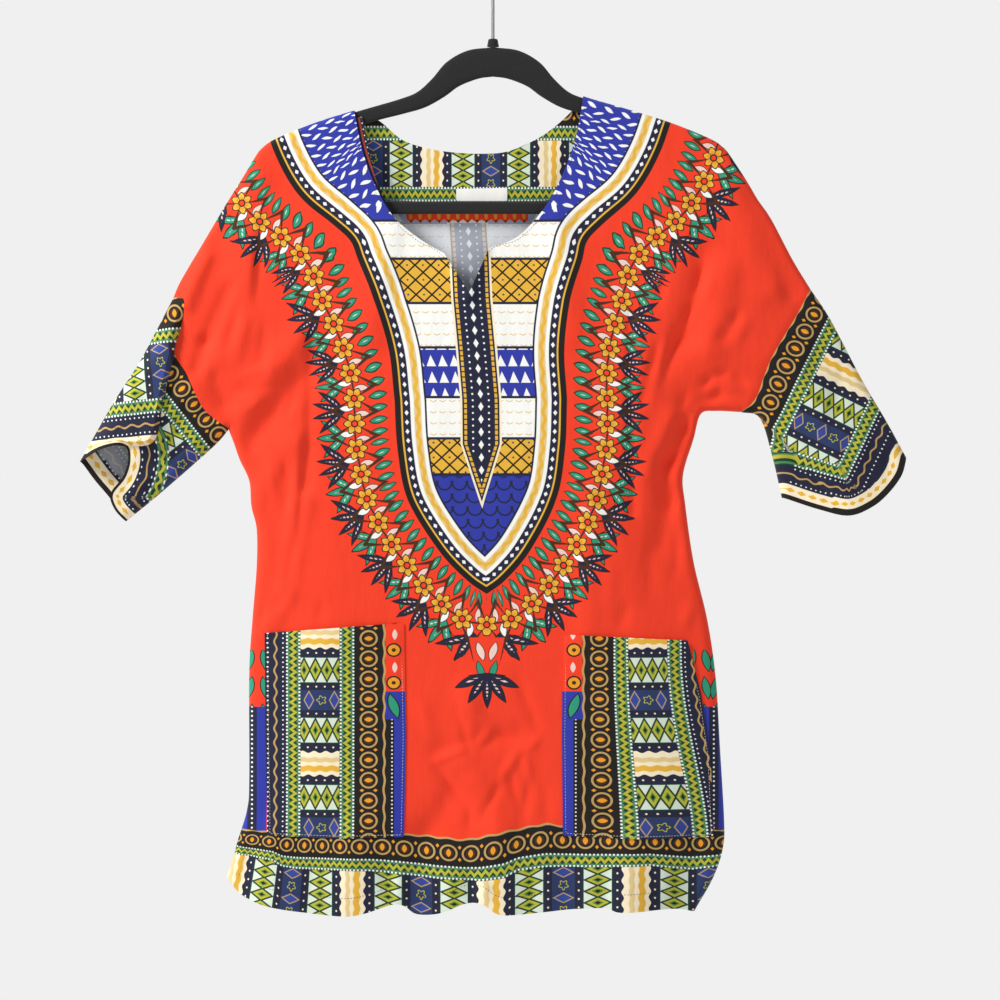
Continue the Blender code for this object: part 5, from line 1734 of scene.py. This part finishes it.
@dataclass(frozen=True)
class Hanger:
    """The slim flocked hanger: its flat loop, its collar and its wire hook."""

    half_thickness: float = 2.5
    squareness: float = 3.4
    section_points: int = 22
    station_step: float = 4.0
    collar_foot: float = 5.7
    collar_top: float = 4.6
    collar_depth: float = 0.67       # of its width
    collar_height: float = 7.6
    collar_round: float = 1.6
    collar_bevel: tuple[float, float] = (0.4, 0.5)   # at its foot: in from its side, and up
    collar_points: int = 40
    gap: float = 0.3
    wire: float = 1.6
    wire_points: int = 16
    hook: float = 20.6
    bend: float = 10.0
    tip_angle: float = 205.0
    tip_round: float = 1.45          # how far the tip's rounding turns, in radians

    @property
    def collar_base(self) -> float:
        """Return how far below the hook's bearing point the collar stands."""
        return SHOULDER_LEVEL + HANGER_SECTIONS[0][1] - self.gap

    def build_loop(self) -> bpy.types.Object:
        """Build the flat loop with its rounded edges."""
        half = through(HANGER_SECTIONS, self.station_step)
        loop = np.vstack([half, half[1:-1][::-1] * (-1, 1, -1, 1)])
        turn = round_turn(self.section_points)
        wide, thick = (np.sign(part) * np.abs(part) ** (2 / self.squareness)
                       for part in (np.cos(turn), np.sin(turn)))
        outer, inner = loop[:, None, :2], loop[:, None, 2:]
        flat = (outer + inner) / 2 + (outer - inner) / 2 * wide[None, :, None]
        depth = np.broadcast_to(thick * self.half_thickness, flat.shape[:2])
        rings = np.stack([flat[..., 0], depth, flat[..., 1]], axis=2)
        return tube_of_rings("hanger_loop_flocked", to_world(rings.reshape(-1, 3)), len(turn),
                             joined_up=True)

    def build_collar(self) -> bpy.types.Object:
        """Build the small turned collar on top of the arch."""
        shoulder = self.collar_height - self.collar_round
        inwards, up = self.collar_bevel
        profile = [(self.collar_foot - inwards, 0.0), (self.collar_foot, up)]
        profile += [(self.collar_top - self.collar_round * (1 - math.cos(t)),
                     shoulder + self.collar_round * math.sin(t))
                    for t in np.linspace(0, math.pi / 2, 7)]
        profile += [(self.wire + self.gap, self.collar_height)]
        rings = [(r * math.cos(t), r * math.sin(t) * self.collar_depth, h - self.collar_base)
                 for r, h in profile for t in round_turn(self.collar_points)]
        return tube_of_rings("hanger_collar_turned", np.array(rings) * MM, self.collar_points)

    def build_hook(self) -> bpy.types.Object:
        """Build the wire hook with its rounded tip."""
        path = self._hook_path()
        along = np.gradient(path, axis=0)
        along /= np.linalg.norm(along, axis=1)[:, None]
        cap = np.linspace(0, self.tip_round, 6)[1:]
        path = np.vstack([path, path[-1] + along[-1] * self.wire * np.sin(cap)[:, None]])
        radius = np.concatenate([np.full(len(along), self.wire), self.wire * np.cos(cap)])
        along = np.vstack([along, np.repeat(along[-1:], len(cap), axis=0)])
        sideways = np.column_stack([-along[:, 1], along[:, 0]])
        rings = []
        for spot, side, r in zip(path, sideways, radius):
            for t in round_turn(self.wire_points):
                x, z = spot + side * r * math.cos(t)
                rings.append((x, r * math.sin(t), z))
        return tube_of_rings("hanger_hook_wire", np.array(rings) * MM, self.wire_points)

    def _hook_path(self) -> Points:
        """Return the wire's middle from the collar round to the tip, in x and z."""
        centre = self.wire - self.hook
        bend = centre - math.sqrt(self.hook ** 2 + 2 * self.hook * self.bend)
        foot = self.collar_height - self.collar_base
        turn = math.atan2(centre - bend, self.bend)
        stem = [(0, z) for z in np.linspace(foot + self.gap, bend, 16)[:-1]]
        neck = [(self.bend * (1 + math.cos(a)), bend + self.bend * math.sin(a))
                for a in np.linspace(math.pi, math.pi - turn, 12)]
        arc = [(self.hook * math.cos(a), centre + self.hook * math.sin(a))
               for a in np.linspace(-turn, math.radians(self.tip_angle), 72)[1:]]
        return np.array(stem + neck + arc)


def round_turn(count: int) -> Points:
    """Return even angles once round."""
    return np.linspace(0, FULL_TURN, count, endpoint=False)


def tube_of_rings(name: str, vertices: Points, sides: int,
                  joined_up: bool = False) -> bpy.types.Object:
    """Join rings of points into a tube, capped at its ends unless it closes on itself.

    Args:
        name: The object's name.
        vertices: The rings' points one after another, in metres.
        sides: How many points a ring has.
        joined_up: Whether the last ring meets the first.

    Returns:
        The object.
    """
    count = len(vertices) // sides
    faces = []
    for row in range(count if joined_up else count - 1):
        here, there = row * sides, (row + 1) % count * sides
        faces += [(here + i, there + i, there + (i + 1) % sides, here + (i + 1) % sides)
                  for i in range(sides)]
    if not joined_up:
        faces += [range(sides), range((count - 1) * sides, count * sides)[::-1]]
    made = new_object(name, vertices, faces)
    made.data.flip_normals()
    return made


# ------------------------------------------------------------------ stitches


@dataclass
class Stitching:
    """Rows of short stitches, laid along lines by one node tree."""

    pitch: float = 2.9
    stitch: float = 2.1
    thread: float = 0.24
    seed: int = 7
    least: float = 0.86              # the shortest stitch, of the longest
    tree: bpy.types.NodeTree = field(init=False)

    def __post_init__(self) -> None:
        """Build the node tree."""
        self.tree = bpy.data.node_groups.new("stitches", "GeometryNodeTree")
        for name, way, kind in (("Geometry", "INPUT", "Geometry"), ("Pitch", "INPUT", "Float"),
                                ("Stitch", "INPUT", "Float"), ("Thread", "INPUT", "Float"),
                                ("Seed", "INPUT", "Int"), ("Material", "INPUT", "Material"),
                                ("Geometry", "OUTPUT", "Geometry")):
            self.tree.interface.new_socket(name, in_out=way, socket_type=f"NodeSocket{kind}")
        graph = Graph(self.tree)
        given = graph.node("NodeGroupInput").outputs
        curve = graph.node("GeometryNodeMeshToCurve", inputs={0: given["Geometry"]})
        spaced = graph.node("GeometryNodeResampleCurve", {"mode": "LENGTH"},
                            {"Curve": curve.outputs[0], "Length": given["Pitch"]})
        bead = graph.node("GeometryNodeMeshUVSphere", inputs={"Segments": 6, "Rings": 5,
                                                              "Radius": given["Thread"]})
        tangent = graph.node("GeometryNodeInputTangent")
        aligned = graph.node("FunctionNodeAlignRotationToVector", {"axis": "Z"},
                             {"Vector": tangent.outputs[0]})
        share = graph.node("FunctionNodeRandomValue", {"data_type": "FLOAT"},
                           {2: self.least, 3: 1.0, "Seed": given["Seed"]})
        longer = Field(graph, given["Stitch"]) / Field(graph, given["Thread"]) * 0.5
        scale = graph.node("ShaderNodeCombineXYZ", inputs={
            0: 1.0, 1: 1.0, 2: longer * Field(graph, share.outputs[1])})
        placed = graph.node("GeometryNodeInstanceOnPoints", inputs={
            "Points": spaced.outputs[0], "Instance": bead.outputs[0],
            "Rotation": aligned.outputs[0], "Scale": scale.outputs[0]})
        solid = graph.node("GeometryNodeRealizeInstances", inputs={0: placed.outputs[0]})
        coated = graph.node("GeometryNodeSetMaterial", inputs={
            "Geometry": solid.outputs[0], "Material": given["Material"]})
        graph.node("NodeGroupOutput", inputs={0: coated.outputs[0]})

    def sew(self, name: str, lines: Sequence[Points], thread: bpy.types.Material
            ) -> bpy.types.Object:
        """Lay stitches along some lines.

        Args:
            name: The piece's name.
            lines: The lines' points in (across, y, drop).
            thread: The thread's material.

        Returns:
            The stitches.
        """
        vertices, edges = [], []
        for line in lines:
            edges += [(i, i + 1) for i in range(len(vertices), len(vertices) + len(line) - 1)]
            vertices += [tuple(point) for point in to_world(line)]
        mesh = bpy.data.meshes.new(name)
        mesh.from_pydata(vertices, edges, [])
        guide = in_scene(f"{name}_guide", mesh)
        modifier = guide.modifiers.new("stitches", "NODES")
        modifier.node_group = self.tree
        values = {"Pitch": self.pitch * MM, "Stitch": self.stitch * MM, "Thread": self.thread * MM,
                  "Seed": self.seed, "Material": thread}
        for item in self.tree.interface.items_tree:
            if item.in_out == "INPUT" and item.name in values:
                modifier[item.identifier] = values[item.name]
        ready = guide.evaluated_get(bpy.context.evaluated_depsgraph_get())
        baked = bpy.data.meshes.new_from_object(ready)
        guide.modifiers.remove(modifier)
        bpy.data.objects.remove(guide)
        baked.shade_smooth()
        return in_scene(name, baked)


# ------------------------------------------------------------------ the studio


@dataclass(frozen=True)
class Studio:
    """A pale floor well below the shirt, soft light from the front, and the camera."""

    look: str = "Standard"
    eye: tuple[float, float, float] = (0.00665, -2.6, -0.5252)
    aim: tuple[float, float, float] = (0, 0, -0.5)
    lens: float = 98.5
    floor_level: float = -1.55
    floor_radius: float = 2.0
    floor_points: int = 96
    air: Colour = (0.985, 0.99, 0.985, 1.0)
    air_seen: float = 0.88           # what the camera sees behind the shirt
    air_light: float = 0.5           # and how much it lights it

    def build(self) -> None:
        """Build the floor, the lights, the world and the camera."""
        rim = [(self.floor_radius * math.cos(t), self.floor_radius * math.sin(t), self.floor_level)
               for t in round_turn(self.floor_points)]
        floor = new_object("floor", np.array(rim), [range(self.floor_points)])
        floor.data.materials.append(PlainFinish("floor_white", shade(0xE8E8E6), 0.9).make())
        for name, place, size, power, colour in (
                ("key", (-2.3, -1.1, 1.2), 0.8, 95, (1.0, 0.98, 0.95)),
                ("fill", (1.9, -2.2, -0.2), 1.8, 5, (0.95, 0.97, 1.0)),
                ("back", (0.8, 2.4, 0.6), 1.6, 16, (1.0, 1.0, 1.0))):
            light = bpy.data.lights.new(name, "AREA")
            light.size, light.energy, light.color = size, power, colour
            made = in_scene(name, light)
            made.location = place
            towards = Vector(self.aim) - Vector(place)
            made.rotation_euler = towards.to_track_quat("-Z", "Y").to_euler()
        world = bpy.data.worlds.new("pale_air")
        bpy.context.scene.world = world
        world.use_nodes = True
        graph = Graph(world.node_tree)
        seen = Field(graph, graph.node("ShaderNodeLightPath").outputs["Is Camera Ray"])
        graph.feed(world.node_tree.nodes["Background"], {
            "Color": self.air,
            "Strength": seen * (self.air_seen - self.air_light) + self.air_light})
        bpy.context.scene.view_settings.view_transform = self.look
        camera = bpy.data.cameras.new("camera")
        camera.lens = self.lens
        made = in_scene("camera", camera)
        made.location = self.eye
        made.rotation_euler = (math.radians(90), 0, 0)
        bpy.context.scene.camera = made


# ------------------------------------------------------------------ putting it together


def declare(piece: bpy.types.Object, node: str, slot: str,
            materials: Sequence[bpy.types.Material], size: Optional[Size] = None) -> None:
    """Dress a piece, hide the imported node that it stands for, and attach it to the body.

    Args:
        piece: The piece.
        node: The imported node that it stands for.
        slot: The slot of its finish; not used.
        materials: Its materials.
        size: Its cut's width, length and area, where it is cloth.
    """
    for material in materials:
        piece.data.materials.append(material)
    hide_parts(node)
    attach(piece, BODY)
    if size:
        width, length, area = size
    LOG.info("%s: %d faces", piece.name, len(piece.data.polygons))


@dataclass
class Shirt:
    """All of the shirt's cloth with its finishes and stitches."""

    tube: Tube
    hem_stitch: float = 17.0         # from the hems' and the cuffs' edges
    edge_stitch: float = 2.6         # from the pockets' and the neckline's
    row_step: float = 3.0            # between the points of a row
    hem_clear: float = 9.0           # of the folded edges
    cuff_clear: float = 5.0
    neck_clear: float = 6.0
    thread_lift: float = 0.1         # of a pocket's stitches, off its cloth

    def build(self) -> None:
        """Build and dress every piece of cloth, and attach it to the body in place of its imported part."""
        border = ClothFinish("border_cotton").make(BorderPrint().print_on)
        mains = [ClothFinish(f"main_cotton_{part.zone.value}").make(part.print_on, part.fringe)
                 for part in map(BodyPrint, Zone)]
        stripe = ClothFinish("facing_cotton").make(facing_stripe)
        satin = ClothFinish("label_satin", roughness=0.5).make(lambda graph: WHITE)
        body, neck = BodyPanels(self.tube, PrintLayout()), NeckPieces(self.tube)
        for face in Face:
            panel, size, carried = body.build(face)
            declare(panel, face.name.lower(), "main_print", [*mains, border], size)
            zone_faces(panel, carried)
        for kind, maker in (("sleeve", Sleeves(self.tube)), ("pocket", Pockets(self.tube))):
            for side in SIDES:
                piece, size = maker.build(side)
                declare(piece, f"{kind}_{side}", "border_print", [border], size)
        for build, node, slot, material in (
                (neck.build_back_facing, "neck_facing_back", "border_print", border),
                (neck.build_label, "neck_label", "label", satin),
                (neck.build_front_strip, "neck_facing_front", "facing", stripe)):
            piece, size = build()
            declare(piece, node, slot, [material], size)

    def sew(self) -> None:
        """Lay the stitches of the hems, the cuffs, the pockets and the neckline."""
        pale, dark = (PlainFinish(f"{name}_thread", shade(code), 0.7, grain=0.00002).make()
                      for name, code in (("pale", 0xE4DCC8), ("dark", 0x23242E)))
        over = self.tube.pattern.over
        hem = through(HEM, self.row_step) - (0, self.hem_stitch)
        hem = hem[self.tube.edge_distance(hem) > self.hem_clear]
        edges = []
        for side, points, turn in (("left", FRONT_NECK_LEFT, -1), ("right", FRONT_NECK_RIGHT, 1)):
            neck = through([over[side][0], *points, SLIT_END], self.row_step)
            edge = neck + turn * self.edge_stitch * left_of(neck)
            edges.append(edge[self.tube.edge_distance(edge) > self.neck_clear][:-1])
        rows = {"hem_stitches": (dark, [self._laid(hem, Face.FRONT, FRONT_CREASES),
                                        self._laid(hem, Face.BACK, BACK_CREASES)]),
                "cuff_stitches": (dark, [self._cuff_row(side, face)
                                         for side in SIDES for face in Face]),
                "pocket_stitches": (pale, [self._pocket_row(POCKETS[side]) for side in SIDES]),
                "neck_stitches": (dark, [self._laid(edge, Face.FRONT, FRONT_CREASES)
                                         for edge in edges])}
        stitching = Stitching()
        for name, (material, lines) in rows.items():
            piece = stitching.sew(name, lines, material)
            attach(piece, BODY)
            LOG.info("%s: %d faces", name, len(piece.data.polygons))

    def _laid(self, line: Points, face: Face, creases: Rows, lift: float = OUTER_FACE,
              gap: float = ON_EDGE) -> Points:
        """Lay a flat line on the cloth's outer face."""
        return raised(line, self.tube.seat(line, face, creases, gap) + face.value * lift)

    def _cuff_row(self, side: str, face: Face) -> Points:
        """Return the row of stitches that holds the hem of half a cuff."""
        pattern = self.tube.pattern
        cuff = pattern.cuffs[face][side]
        inwards = np.sign(np.mean(pattern.seams[face][side], axis=0) - np.mean(cuff, axis=0))
        row = cuff + self.hem_stitch * left_of(cuff) * (1 if side == "right" else -1)
        if (np.mean(row - cuff, axis=0) @ inwards) < 0:
            row = 2 * cuff - row
        row = row[inside(joined_outline(pattern.sleeve(side, face)), row)]
        row = row[(self.tube.edge_distance(row) > self.cuff_clear)
                  & (distance_to(row, cuff) > self.hem_stitch - 0.5)]
        laid = self._laid(row, face, SLEEVE_CREASES if face is Face.FRONT else (), gap=0)
        if Sleeves.stepped(side, face):
            laid[:, 1] += face.value * overlap_lift(row, pattern)
        return laid

    def _pocket_row(self, corners: Rows) -> Points:
        """Return the row of stitches down a pocket's sides and along its foot."""
        corners = np.array(corners, dtype=float)
        middle = np.mean(corners, axis=0)
        size = np.ptp(corners, axis=0)
        shrunk = middle + (corners - middle) * (1 - 2 * self.edge_stitch / size)
        sewn = evenly([*shrunk[1:], shrunk[0]], self.row_step)
        lift = POCKET_SEAT + CLOTH + self.thread_lift
        return self._laid(sewn, Face.FRONT, FRONT_CREASES, lift)


def zone_faces(panel: bpy.types.Object, carried: dict[str, Points]) -> None:
    """Give each face of a panel the least print that covers it.

    Args:
        panel: The panel, whose materials are the zones' prints and then the border's.
        carried: The print's coordinates at the points of its sheet.
    """
    enough = BodyPrint().zones_of(carried)
    down = carried["lay"][:, 2]
    for face in panel.data.polygons:
        corners = [corner % len(down) for corner in face.vertices]
        if down[corners].mean() > 0:
            face.material_index = len(Zone)
            continue
        for number, zone in enumerate(Zone):
            if zone in enough and enough[zone][corners].all():
                face.material_index = number
                break


def main() -> None:
    """Build the pieces in order."""
    shirt = Shirt(Tube(Pattern()))
    shirt.build()
    shirt.sew()
    hanger = Hanger()
    flock = PlainFinish("black_flock", shade(0x161618), 0.95, sheen=0.25, grain=0.0004).make()
    steel = PlainFinish("polished_steel", shade(0xA8A8AA), 0.28, metallic=1.0).make()
    declare(hanger.build_loop(), "hanger_frame", "flock", [flock])
    declare(hanger.build_collar(), "hanger_collar", "flock", [flock])
    declare(hanger.build_hook(), "hanger_hook", "hook_wire", [steel])
    Studio().build()


if __name__ == "__main__":
    logging.basicConfig(level=logging.INFO, format="%(name)s: %(message)s")
    main()
